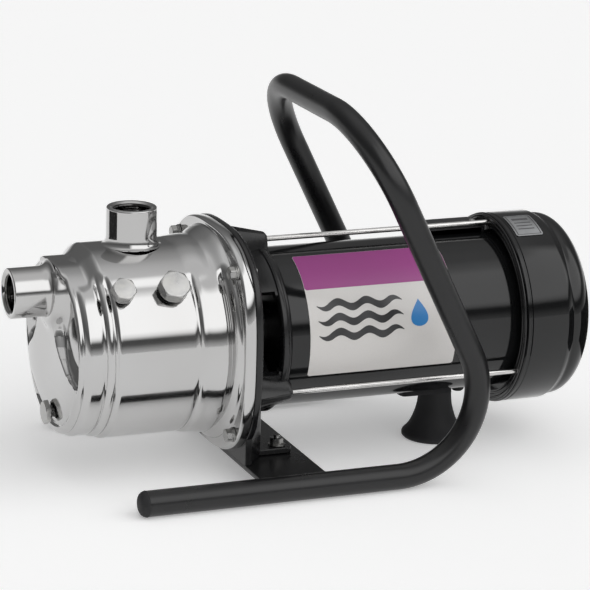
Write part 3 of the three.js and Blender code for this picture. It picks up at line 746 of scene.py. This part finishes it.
def flange_bolts():
    for i in range(1, 5):
        name = f"flange_bolt_{i}"
        centre = centre_of(name)
        centre.x = FLANGE_FRONT - 0.3
        pieces = combine(
            washer(0, 1.3, 6.6),
            washer(1.2, 2.7, 5.9),
            hex_rows(10.4, 5.0, 1.1, base=2.6, dome=0.2, per_side=8),
            shank(-17.5, 1, 3, 1.0),
        )
        turned = aimed(pieces, (-1, 0, 0), centre)
        emit(f"casing_bolt_{i}", turned, ZINC, [name], sharp=32)


# ------------------------------------------------------------------ adapter bracket
ADAPTER_LOW = box("adapter_bracket")[0]
PLATE_REAR = -67.4  # the plate's rear face


def flange_ring(x, half, turns=240):
    theta = np.linspace(0, 2 * math.pi, turns, endpoint=False)
    reach = flange_radius(theta, half)
    return [(x, r * math.sin(a), r * math.cos(a)) for r, a in zip(reach, theta)]


def superellipse_plate(stages, hole, turns=240):
    """A plate from (x, half size) stages, with a round hole through it."""
    rings = [flange_ring(x, half, turns) for x, half in stages]
    theta = np.linspace(0, 2 * math.pi, turns, endpoint=False)
    rear, front = stages[-1][0], stages[0][0]
    for x in (rear, front):
        rings.append([(x, hole * math.sin(a), hole * math.cos(a)) for a in theta])
    rings.append(rings[0])
    verts = [v for ring in rings for v in ring]
    return verts, grid_faces(len(rings), turns, wrap=True)


def lug(degrees):
    """A lug that carries a tie rod, fanning out with three ribs towards the plate."""
    verts = []
    steps, rows = 61, 28
    for i in range(rows):
        t = i / (rows - 1)
        x = PLATE_REAR - 0.6 + 38.0 * t
        top = 94.5 - 9.0 * t - 1.6 * smoothstep(0.94, 1, t)
        width = 17.0 - 9.5 * t ** 0.85 - 0.8 * smoothstep(0.94, 1, t)
        relief = 1.5 * (1 - 0.75 * t)
        for j in range(steps):
            s = 2 * j / (steps - 1) - 1
            valley = abs(math.sin(2.0 * math.pi * s)) ** 0.7
            fall = (abs(s) ** 3.2) * (top - 70.5)
            up = top - fall - relief * valley * (1 - 0.3 * abs(s))
            if j in (0, steps - 1):
                up = 64
            verts.append((x, s * width, up))
    faces = grid_faces(rows, steps)
    left = [i * steps for i in range(rows)]
    right = [(i + 1) * steps - 1 for i in range(rows)]
    faces.append(tuple(left + right[::-1]))
    faces.append(tuple(range(steps)))
    faces.append(tuple(range((rows - 1) * steps, rows * steps))[::-1])
    return moved((verts, faces), Matrix.Rotation(-math.radians(degrees), 4, "X"))


def adapter_bell():
    """The round body of the bracket with its two cooling windows, cut cell by cell."""
    outline = [
        (PLATE_REAR - 1.5, 78.5),
        (PLATE_REAR + 0.8, 76.2),
        (-64.5, 74.0),
        (-62.0, 73.0),
        (-60.5, 72.6),
        (-58.5, 72.3),
        (-54.0, 72.1),
        (-48.0, 72.1),
        (-42.0, 72.3),
        (-40.0, 72.6),
        (-39.0, 73.8),
        (-36.0, 74.2),
        (-34.6, 73.4),
        (-33.8, 72.3),
        (-32.2, 72.0),
        (-31.4, 71.2),
    ]
    turns = 360
    inner = 66.0
    verts = []
    for x, radius in outline + [(x, inner) for x, _ in outline]:
        for j in range(turns):
            a = 2 * math.pi * j / turns
            verts.append((x, radius * math.sin(a), radius * math.cos(a)))
    layer = len(outline) * turns
    low, high = 4, 9  # outline rows between which the windows open

    def open_cell(i, j):
        degrees = (j + 0.5) * 360 / turns
        degrees = min(degrees, 360 - degrees)
        corner = 3 if i in (low, high - 1) else 0
        return low <= i < high and 49 + corner < degrees < 109 - corner

    faces = []
    for i in range(len(outline) - 1):
        for j in range(turns):
            k = (j + 1) % turns
            a, b, c, d = i * turns + j, i * turns + k, (i + 1) * turns + k, (i + 1) * turns + j
            if open_cell(i, j):
                continue
            faces.append((a, b, c, d))
            faces.append((a + layer, d + layer, c + layer, b + layer))
            sides = [(i, j - 1, a, d), (i, j + 1, b, c), (i - 1, j, a, b), (i + 1, j, d, c)]
            for row, column, p, q in sides:
                beyond = row < 0 or row >= len(outline) - 1
                if beyond or open_cell(row, column % turns):
                    faces.append((p, q, q + layer, p + layer))
    return verts, faces


def rounded_outline(points, radius, steps=5):
    """Rounds every corner of a closed outline of (u, v) points."""
    count = len(points)
    out = []
    for i in range(count):
        before, here, after = (Vector(points[(i + d) % count]) for d in (-1, 0, 1))
        a, b = before - here, after - here
        size = min(radius, a.length * 0.45, b.length * 0.45)
        start, end = here + a.normalized() * size, here + b.normalized() * size
        for s in range(steps + 1):
            t = s / steps
            out.append(tuple((1 - t) ** 2 * start + 2 * t * (1 - t) * here + t * t * end))
    return out


def upright(outline, z0, z1, bevel=0.8):
    """An (x, y) outline extruded along z, its rims rounded by `bevel`."""
    turned = prism([(x, y) for x, y in outline], z0, z1, bevel)
    verts = [(y, z, x) for x, y, z in turned[0]]
    return verts, turned[1]


def adapter_bracket():
    low = ADAPTER_LOW.z
    plate = superellipse_plate(
        [(-74.1, 96.6), (-73.6, 97.6), (-72.9, 98.0), (-69.2, 98.0), (-68.1, 97.4), (PLATE_REAR, 96.2)], 44
    )
    spigot = lathe([(-76.8, 60), (-76.8, 94.6), (-76.4, 95), (-73.0, 95), (-73.0, 60), (-76.8, 60)], 160)
    dish = lathe([(-74, 14), (-74, 80), (PLATE_REAR, 80), (-62, 66), (-62, 14), (-74, 14)], 128)
    hub = lathe([(-52.5, 20.3), (-52.5, 23.5), (-33, 23.5), (-31.6, 22.4), (-31.6, 20.3), (-52.5, 20.3)], 64)
    seat = [(-36, 22), (-36, 71), (-31.9, 71), (-31.9, 66.8), (-33.5, 66.6), (-33.5, 22), (-36, 22)]
    seat = lathe(seat, 128)
    front = rounded_outline([(-74.1, -77), (-68.0, -77), (-68.0, 77), (-74.1, 77)], 1.2)
    half = [(-72, -72), (-67.4, -74.5), (-52.5, -56), (-51, -53)]
    walls = rounded_outline(half + [(x, -y) for x, y in half[::-1]], 2.4)
    tab = rounded_outline([(-54, -56), (-25, -56), (-22, -53), (-22, 53), (-25, 56), (-54, 56)], 2.0)
    pieces = [
        plate,
        spigot,
        dish,
        hub,
        seat,
        adapter_bell(),
        upright(front, low, -50, 0.5),
        upright(walls, low, -58, 1.2),
        upright(tab, low, low + 5.4, 0.9),
    ]
    spoke = slab(-52.5, -44.5, -5, 5, 22.5, 67)
    pieces += [lug(d) for d in (0, 120, 240)]
    pieces += [moved(spoke, Matrix.Rotation(math.radians(d), 4, "X")) for d in (0, 120, 240)]
    emit("bracket_casting", combine(*pieces), CAST, ["adapter_bracket"], sharp=38)


# ------------------------------------------------------------------ motor
SHELL_LOW, SHELL_HIGH = box("motor_shell")
COVER_LOW, COVER_HIGH = box("rear_cover")
SHELL_R = SHELL_HIGH.z
COVER_R = COVER_HIGH.z


def motor_shell():
    front, rear = SHELL_LOW.x, SHELL_HIGH.x
    outline = [(front, SHELL_R - 2), (front, SHELL_R - 0.7), (front + 0.7, SHELL_R)]
    outline += [(rear - 0.5, SHELL_R), (rear, SHELL_R - 0.5), (rear, SHELL_R - 2), (front, SHELL_R - 2)]
    emit("motor_can", lathe(outline, 192), GLOSS, ["motor_shell"], sharp=35)


def rear_shield():
    low, high = box("rear_shield")
    rear = high.x
    rim = [(1.6, 75), (0.9, 75.4), (0.9, 76.6), (1.7, 77.0), (1.7, 78.2), (0.6, 78.8), (0.6, 80.6)]
    rim += [(1.3, 81.1), (1.3, 82.0), (0.2, 82.6), (0, 83.0), (0, 84.2), (0.6, 85.0), (1.5, 85.0)]
    rim += [(1.9, 84.4), (1.9, 81.7)]
    outline = [(rear - 12.3 + x, radius) for x, radius in rim]
    outline += [(rear, 81.7), (rear, 10.5), (rear - 5.7, 10.5), (rear - 5.7, 20.3)]
    outline += [(low.x, 20.3), (low.x, 26), (rear - 5.7, 26), (rear - 5.7, 75), outline[0]]
    emit("shield_casting", lathe(outline, 192), CAST, ["rear_shield"], sharp=30)


def rear_cover():
    front, rear, radius = COVER_LOW.x, COVER_HIGH.x, COVER_R
    outline = [(front, radius - 2), (front, radius - 0.9), (front + 0.9, radius), (front + 3.2, radius)]
    outline += [(front + 3.9, radius - 0.9), (front + 4.9, radius - 0.9), (front + 5.6, radius - 0.2)]
    outline += [(226.0, radius - 0.2), (227.6, radius - 0.5), (231.0, radius - 2.4), (232.5, radius - 3.3)]
    outline += [(234.0, radius - 3.4), (235.2, radius - 3.0), (238, radius - 3.1)]
    dome = 29.6
    length = rear - 238
    for i in range(1, 25):
        a = math.radians(90 * i / 24)
        outline.append((238 + length * math.sin(a), dome + (radius - 3.1 - dome) * math.cos(a)))
    outline += [(rear - 0.2, 26), (rear - 0.9, 24.6), (rear - 0.9, 0)]
    inside = [(rear - 3, 0), (rear - 3, 26)]
    for i in range(12, -1, -1):
        a = math.radians(90 * i / 12)
        inside.append((238 + (length - 2.6) * math.sin(a), dome + (radius - 5.6 - dome) * math.cos(a)))
    outline += inside + [(228, radius - 2.6), (front, radius - 2)]
    emit("cover_drum", lathe(outline, 192), GLOSS, ["rear_cover"], sharp=30)


def wrapped(x0, x1, from_degrees, to_degrees, inner, outer, corner=0.0, columns=48, rows=24):
    """A sheet on a cylinder with rounded corners, angles from the top towards -y."""
    middle = (from_degrees + to_degrees) / 2
    half_turn = math.radians(to_degrees - from_degrees) / 2 * outer
    half_x, centre_x = (x1 - x0) / 2, (x0 + x1) / 2
    verts = []
    for radius in (inner, outer):
        for i in range(rows + 1):
            v = -1 + 2 * i / rows
            for j in range(columns + 1):
                u = -1 + 2 * j / columns
                over = max(abs(v) * half_turn - (half_turn - corner), 0)
                pull = corner - math.sqrt(max(corner * corner - over * over, 0))
                x = centre_x + u * (half_x - pull)
                a = math.radians(middle) + v * half_turn / outer
                verts.append((x, -radius * math.sin(a), radius * math.cos(a)))
    wide, layer = columns + 1, (rows + 1) * (columns + 1)
    faces = grid_faces(rows + 1, wide)
    faces += [tuple(i + layer for i in f)[::-1] for f in grid_faces(rows + 1, wide)]
    edge = [(i * wide, (i + 1) * wide) for i in range(rows)]
    edge += [(i * wide + columns, (i + 1) * wide + columns) for i in range(rows)]
    edge += [(j, j + 1) for j in range(columns)]
    edge += [(rows * wide + j, rows * wide + j + 1) for j in range(columns)]
    faces += [(a, b, b + layer, a + layer) for a, b in edge]
    return verts, faces


LABEL_FROM, LABEL_TO = 17.5, 113.5  # degrees from the top towards -y


def motor_label():
    low, high = box("motor_label")
    x0, x1 = low.x, high.x
    inner, outer = SHELL_R + 0.12, SHELL_R + 0.42
    sheet = wrapped(x0, x1, LABEL_FROM, LABEL_TO, inner, outer, corner=1.5, columns=24, rows=64)
    emit("label_sheet_white", sheet, LABEL_WHITE, ["motor_label"])
    band = wrapped(x0 + 0.25, x1 - 0.25, LABEL_FROM + 0.25, 49.5, outer - 0.1, outer + 0.12, corner=1.4)
    emit("label_band", band, LABEL_BAND)
    waves = [label_wave(x0 + 8, x0 + 88, 62 + 10.5 * i, 6.6, outer) for i in range(3)]
    emit("label_waves", combine(*waves), LABEL_INK)
    emit("label_drop", label_drop(x0 + 103, 72, 12, outer), LABEL_BLUE)


def label_wave(x0, x1, degrees, thick, surface, columns=96):
    """One printed wave line on the label."""
    verts = []
    for j in range(columns + 1):
        t = j / columns
        x = x0 + (x1 - x0) * t
        swing = 2.6 * math.sin(t * 2 * math.pi * 3)
        half = thick / 2 * min(1, 6 * t + 0.1, 6 * (1 - t) + 0.1)
        for lift, edge in ((-0.08, -1), (-0.08, 1), (0.12, 1), (0.12, -1)):
            a = math.radians(degrees) + (swing + edge * half) / SHELL_R
            verts.append((x, -(surface + lift) * math.sin(a), (surface + lift) * math.cos(a)))
    faces = grid_faces(columns + 1, 4, wrap=True)
    return verts, faces + [(0, 1, 2, 3), tuple(range(4 * columns, 4 * columns + 4))]


def label_drop(x, degrees, size, surface, steps=48):
    """A plain water drop printed on the label."""
    outline = []
    for i in range(steps):
        a = 2 * math.pi * i / steps
        round_part = math.sin(a / 2) ** 1.4
        outline.append((size * math.sin(a) * round_part * 0.95, size * math.cos(a)))
    verts = []
    for radius in (surface - 0.08, surface + 0.12):
        for u, v in outline:
            a = math.radians(degrees) - v / SHELL_R
            verts.append((x + u, -radius * math.sin(a), radius * math.cos(a)))
    faces = grid_faces(2, steps, wrap=True)
    for layer in (0, steps):
        for j in range(1, steps // 2):
            a, b, c, d = layer + j, layer + j + 1, layer + steps - j - 1, layer + steps - j
            faces.append((a, b, c, d) if b != c else (a, b, d))
    faces += [(0, 1, steps - 1), (steps, steps + 1, 2 * steps - 1)]
    return verts, faces


STICKER_FROM, STICKER_TO = 6.0, 28.5  # degrees from the top towards -y


def rating_plate():
    low, high = box("rating_plate")
    inner, outer = COVER_R + 0.1, COVER_R + 0.5
    sheet = wrapped(low.x, high.x, STICKER_FROM, STICKER_TO, inner, outer, corner=1.6, columns=16, rows=24)
    emit("rating_sheet", sheet, SILVER, ["rating_plate"])
    lines = []
    for x0, x1, a0, a1 in (
        (0.05, 0.95, 0.05, 0.065),
        (0.05, 0.95, 0.935, 0.95),
        (0.05, 0.09, 0.05, 0.95),
        (0.91, 0.95, 0.05, 0.95),
        (0.2, 0.8, 0.2, 0.30),
        (0.2, 0.8, 0.42, 0.46),
        (0.2, 0.8, 0.56, 0.60),
        (0.2, 0.8, 0.70, 0.74),
    ):
        span_x, span_a = high.x - low.x, STICKER_TO - STICKER_FROM
        lines.append(
            wrapped(
                low.x + x0 * span_x,
                low.x + x1 * span_x,
                STICKER_FROM + a0 * span_a,
                STICKER_FROM + a1 * span_a,
                outer - 0.1,
                outer + 0.08,
                columns=4,
                rows=6,
            )
        )
    emit("rating_lines", combine(*lines), SILVER_INK)


def tie_rods():
    for i in range(1, 4):
        low, high = box(f"tie_rod_{i}")
        _, y, z = centre_of(f"tie_rod_{i}")
        bar = [(low.x, 0), (low.x, 2.0), (low.x + 0.5, 2.4), (high.x - 16, 2.4)]
        x = high.x - 15.5
        while x < high.x - 1:
            bar += [(x, 2.35), (x + 0.4, 2.0)]
            x += 0.8
        bar += [(high.x, 1.9), (high.x, 0)]
        rod = shifted(lathe(bar, 40), y=y, z=z)
        emit(f"rod_{i}", rod, ROD_STEEL, [f"tie_rod_{i}"])
        seat = box(f"tie_rod_nut_{i}")[0].x
        nut = shifted(hex_rows(7.4, 4.6, 0.9, base=seat, per_side=6), y=y, z=z)
        emit(f"rod_nut_{i}", nut, ZINC, [f"tie_rod_nut_{i}"], sharp=32)


def terminal_cover():
    low, high = box("terminal_cover")
    middle, y, _ = centre_of("terminal_cover")
    corners = [(low.x, low.y), (high.x, low.y), (high.x, high.y), (low.x, high.y)]
    outline = rounded_outline(corners, 4, 6)
    lid = upright(outline, low.z, high.z, 2.2)
    skirt = upright([(x + (0.4 if x > middle else -0.4), y) for x, y in outline], low.z, low.z + 14, 0.6)
    emit("terminal_lid", combine(lid, skirt), BLACK_PLASTIC, ["terminal_cover"], sharp=35)
    screw = lathe([(0, 0), (0, 3.2), (1.0, 3.1), (1.7, 2.2), (2.0, 0)], 32)
    screws = [aimed(screw, (0, 0, 1), (x, y, high.z)) for x in (low.x + 6, high.x - 6)]
    emit("terminal_screws", combine(*screws), ZINC, sharp=35)


def cord_gland():
    low, high = box("cord_gland")
    x, y, _ = centre_of("cord_gland")
    rows = [(high.z, 0), (high.z, 6.8), (-71.5, 6.8), (-72.2, 6.3), (-73.0, 6.3), (-73.4, 5.8), (-74.4, 5.8)]
    rows += [(-74.8, 5.2), (low.z + 0.6, 5.0), (low.z, 4.2), (low.z, 0)]
    verts, faces = lathe([(-z, r) for z, r in rows], 48)
    body = ([(x + p[2], y + p[1], -p[0]) for p in verts], faces)
    emit("gland_boot", body, RUBBER, ["cord_gland"])


# ------------------------------------------------------------------ frame, feet and fasteners
TUBE_LOW, TUBE_HIGH = box("frame_tube")
TUBE_R = 11.1
GROUND = -AXIS_Z
TRACK = TUBE_HIGH.y - TUBE_R
SKID_FRONT = TUBE_LOW.x
LEG_LEAN = math.atan(0.5)
REAR_BEND_R, REAR_BEND_X = 72.0, 48.0
GRIP_BEND_R, GRIP_X, GRIP_Z = 77.0, 10.9, 201.2


def sweep_arc(centre, start, towards, radius, angle, steps):
    turns = [angle * i / steps for i in range(steps + 1)]
    return [centre + start * (radius * math.cos(a)) + towards * (radius * math.sin(a)) for a in turns]


def frame_path():
    """Centre line of the tube: near skid, rear bend, leg, grip, and the same again mirrored."""
    up = Vector((-math.sin(LEG_LEAN), 0, math.cos(LEG_LEAN)))
    bend = Vector((REAR_BEND_X, -TRACK, GROUND + TUBE_R + REAR_BEND_R))
    top = Vector((GRIP_X, -TRACK, GRIP_Z))
    grip = top - up * GRIP_BEND_R + Vector((0, GRIP_BEND_R, 0))
    tip = Vector((SKID_FRONT, -TRACK, GROUND + TUBE_R))
    skid = Vector((REAR_BEND_X - SKID_FRONT, 0, 0))
    near = [tip + skid * (i / 20) for i in range(20)]
    near += sweep_arc(bend, Vector((0, 0, -1)), Vector((1, 0, 0)), REAR_BEND_R, math.pi / 2 + LEG_LEAN, 40)
    bend_arc = sweep_arc(grip, Vector((0, -1, 0)), up, GRIP_BEND_R, math.pi / 2, 36)
    start = near[-1]
    near += [start + (bend_arc[0] - start) * (i / 16) for i in range(1, 16)]
    near += bend_arc
    start, end = near[-1], Vector((near[-1].x, -near[-1].y, near[-1].z))
    bridge = [start + (end - start) * (i / 8) for i in range(1, 8)]
    far = [Vector((p.x, -p.y, p.z)) for p in reversed(near)]
    return near + bridge + far


def frame_tube():
    path = frame_path()
    emit("frame_bent_tube", tube(path, TUBE_R, sides=56), SATIN, ["frame_tube"], sharp=60)
    for side, name in ((-1, "frame_cap_near"), (1, "frame_cap_far")):
        outline = [(-7.0, 0), (-6.9, 4.5), (-6.4, 7.2), (-5.2, 9.2), (-3.4, 10.5), (-1.6, 11.2), (-0.9, 11.4)]
        outline += [(-0.2, 11.2), (-0.1, 9.6), (4, 9.4), (14, 9.2), (14, 0)]
        cap = shifted(lathe(outline, 56), x=SKID_FRONT, y=side * TRACK, z=GROUND + TUBE_R)
        emit(name + "_plug", cap, CAP_RUBBER, [name], sharp=50)


def cross_bar():
    low, high = box("cross_bar")
    outline = rounded_outline([(low.x, low.y), (high.x, low.y), (high.x, high.y), (low.x, high.y)], 1.5)
    bar = upright(outline, low.z, high.z, 0.5)
    welds = []
    for side in (-1, 1):
        y = side * (TRACK - TUBE_R + 1.6)
        along = np.linspace(low.x + 2, high.x - 2, 60)
        bead = [(x, y, high.z + 0.2 + 0.35 * math.sin(i * 1.3)) for i, x in enumerate(along)]
        welds.append(tube(bead, 2.0, 12))
    emit("cross_bar_plate", combine(bar, *welds), SATIN, ["cross_bar"])


def foot_fasteners():
    seat = box("cross_bar")[0].z - 0.3
    for side in ("near", "far"):
        x, y, _ = centre_of(f"foot_bolt_{side}")
        top = box(f"foot_bolt_{side}")[1].z
        head = hex_rows(10, 5, 1.0, base=1.4, per_side=8)
        below = combine(washer(0, 1.4, 6.5), head, shank(seat - top, 0.5, 3, 1.0))
        below = aimed(below, (0, 0, -1), (x, y, seat))
        emit(f"foot_screw_{side}", below, ZINC, [f"foot_bolt_{side}"], sharp=32)
        above = combine(washer(0, 1.3, 7.6, 3.3), hex_rows(10.4, 5.4, 1.1, base=1.3, per_side=8))
        above = aimed(above, (0, 0, 1), (x, y, box(f"foot_nut_{side}")[0].z))
        emit(f"foot_lock_nut_{side}", above, ZINC, [f"foot_nut_{side}"], sharp=32)


REAR_FOOT_X = 138.6


def rear_foot():
    """The flared rubber foot and the saddle that holds it under the shell."""
    outline = [(0, 0), (0, 22), (0.4, 24.5), (0.2, 27.6), (1.4, 28.8), (3.0, 29.0), (4.6, 28.6), (6.2, 27.2)]
    outline += [(8.0, 25.4), (10.5, 23.4), (14, 21.4), (19, 19.2), (25, 17.2), (31, 15.8), (38, 15.0)]
    outline += [(44, 14.8), (50, 15.4), (53, 16.6), (53, 0)]
    verts, faces = lathe([(-a, r) for a, r in outline], 72)
    cup = ([(REAR_FOOT_X + p[2], p[1], GROUND - p[0]) for p in verts], faces)
    front, rear = REAR_FOOT_X - 38, REAR_FOOT_X + 10
    inner, outer = SHELL_R + 0.3, SHELL_R + 4
    saddle = wrapped(front, rear, 166, 194, inner, outer, corner=5, columns=24, rows=16)
    emit("foot_cup", combine(cup, saddle), RUBBER, ["rear_foot"], sharp=45)


# ------------------------------------------------------------------ studio
# Brightness of the surroundings by elevation in degrees: the lit bank, and everywhere else.
FRONT_BANDS = [
    (-90, 0.9),
    (-2, 0.7),
    (3, 0.45),
    (8, 0.12),
    (13, 0.08),
    (17, 1.2),
    (21, 1.65),
    (58, 1.65),
    (66, 0.82),
    (90, 0.78),
]
BACK_BANDS = [(-90, 0.9), (-2, 0.8), (4, 0.3), (12, 0.12), (40, 0.25), (58, 0.5), (72, 0.8), (90, 0.78)]
BANK_AZIMUTH = 34  # the middle of the bank, in degrees from -y towards +x
BANK_HALF_WIDTHS = 46, 62  # degrees where it starts and ends fading out
FLAG_DISTANCE = 0.55  # metres from the discharge port
FLAG_HEIGHTS = 0.002, 0.13  # metres above the ground
FLAGS = {"flag_left": (-138, -86), "flag_right": (68, 100)}  # degrees from -y towards +x
FLOOR_HALF, FLOOR_Z = 12, -0.0004  # metres
CAMERA_PLACE = (-0.9675, -2.3423, 0.8573)


def world():
    """Soft studio surroundings: a bright bank to the front, darker bands round it."""
    made = bpy.data.worlds.new("studio")
    made.use_nodes = True
    tree = made.node_tree
    coordinate = tree.nodes.new("ShaderNodeTexCoord")
    split = tree.nodes.new("ShaderNodeSeparateXYZ")
    tree.links.new(coordinate.outputs["Generated"], split.inputs["Vector"])

    def maths(operation, *values):
        node = tree.nodes.new("ShaderNodeMath")
        node.operation = operation
        for socket, value in zip(node.inputs, values):
            if isinstance(value, bpy.types.NodeSocket):
                tree.links.new(value, socket)
            else:
                socket.default_value = value
        return node.outputs[0]

    def ramp(stops, height):
        node = tree.nodes.new("ShaderNodeValToRGB")
        elements = node.color_ramp.elements
        elements.remove(elements[-1])
        for i, (elevation, level) in enumerate(stops):
            place = math.sin(math.radians(elevation)) * 0.5 + 0.5
            element = elements[0] if i == 0 else elements.new(place)
            element.position = place
            element.color = (level, level, level, 1)
        tree.links.new(height, node.inputs["Fac"])
        return node.outputs["Color"]

    height = maths("MULTIPLY_ADD", split.outputs["Z"], 0.5, 0.5)
    azimuth = maths("ARCTAN2", split.outputs["X"], maths("MULTIPLY", split.outputs["Y"], -1))
    away = maths("ABSOLUTE", maths("SUBTRACT", azimuth, math.radians(BANK_AZIMUTH)))
    facing = tree.nodes.new("ShaderNodeMapRange")
    full, none = BANK_HALF_WIDTHS
    facing.inputs["From Min"].default_value = math.radians(none)
    facing.inputs["From Max"].default_value = math.radians(full)
    tree.links.new(away, facing.inputs["Value"])
    mixed = tree.nodes.new("ShaderNodeMix")
    mixed.data_type = "RGBA"
    tree.links.new(facing.outputs["Result"], mixed.inputs["Factor"])
    tree.links.new(ramp(BACK_BANDS, height), mixed.inputs["A"])
    tree.links.new(ramp(FRONT_BANDS, height), mixed.inputs["B"])
    tree.links.new(mixed.outputs["Result"], tree.nodes["Background"].inputs["Color"])
    bpy.context.scene.world = made


def staged(name, verts, faces, material):
    """An object in metres that belongs to the studio."""
    mesh = bpy.data.meshes.new(name)
    mesh.from_pydata(verts, [], faces)
    thing = bpy.data.objects.new(name, mesh)
    bpy.context.scene.collection.objects.link(thing)
    thing.data.materials.append(material)
    return thing


def floor():
    pale = new_material("pale_floor", (0.93, 0.93, 0.93), 0.8, specular=0.1)
    shader = pale.node_tree.nodes["Principled BSDF"]
    shader.inputs["Emission Color"].default_value = (1, 1, 1, 1)
    shader.inputs["Emission Strength"].default_value = 0.3
    corners = [(x * FLOOR_HALF, y * FLOOR_HALF, FLOOR_Z) for x, y in ((-1, -1), (1, -1), (1, 1), (-1, 1))]
    staged("floor", corners, [(0, 1, 2, 3)], pale)


def flags():
    """Dark cards round the pump, seen only in reflections, that give the bright metal its contrast."""
    cloth = new_material("flag_cloth", (0.02, 0.02, 0.02), 0.9)
    steps = 32
    faces = [(2 * i, 2 * i + 2, 2 * i + 3, 2 * i + 1) for i in range(steps)]
    for name, (start, end) in FLAGS.items():
        verts = []
        for i in range(steps + 1):
            a = math.radians(start + (end - start) * i / steps)
            x = DISCHARGE_X * MM + FLAG_DISTANCE * math.sin(a)
            verts += [(x, -FLAG_DISTANCE * math.cos(a), z) for z in FLAG_HEIGHTS]
        card = staged(name, verts, faces, cloth)
        card.visible_camera = False
        card.visible_diffuse = False
        card.visible_shadow = False
        card.visible_transmission = False


def camera():
    data = bpy.data.cameras.new("photo_camera")
    data.sensor_width = 36
    data.lens = 183.05
    data.clip_end = 100
    thing = bpy.data.objects.new("photo_camera", data)
    turn, tilt, roll = math.radians(22.43), math.radians(15.74), math.radians(1.63)
    ahead = Vector((math.sin(turn) * math.cos(tilt), math.cos(turn) * math.cos(tilt), -math.sin(tilt)))
    right = Vector((math.cos(turn), -math.sin(turn), 0))
    up = right.cross(ahead)
    rolled_right = right * math.cos(roll) + up * math.sin(roll)
    rolled_up = up * math.cos(roll) - right * math.sin(roll)
    basis = Matrix((rolled_right, rolled_up, -ahead)).transposed()
    thing.matrix_world = Matrix.Translation(CAMERA_PLACE) @ basis.to_4x4()
    bpy.context.scene.collection.objects.link(thing)
    bpy.context.scene.camera = thing


# ------------------------------------------------------------------ build
finish_cad_nodes()
pump_casing()
ports()
plug_pieces()
flange_bolts()
adapter_bracket()
motor_shell()
rear_shield()
rear_cover()
motor_label()
rating_plate()
tie_rods()
terminal_cover()
cord_gland()
frame_tube()
cross_bar()
foot_fasteners()
rear_foot()
world()
floor()
flags()
camera()
bpy.context.scene.view_settings.view_transform = "Standard"
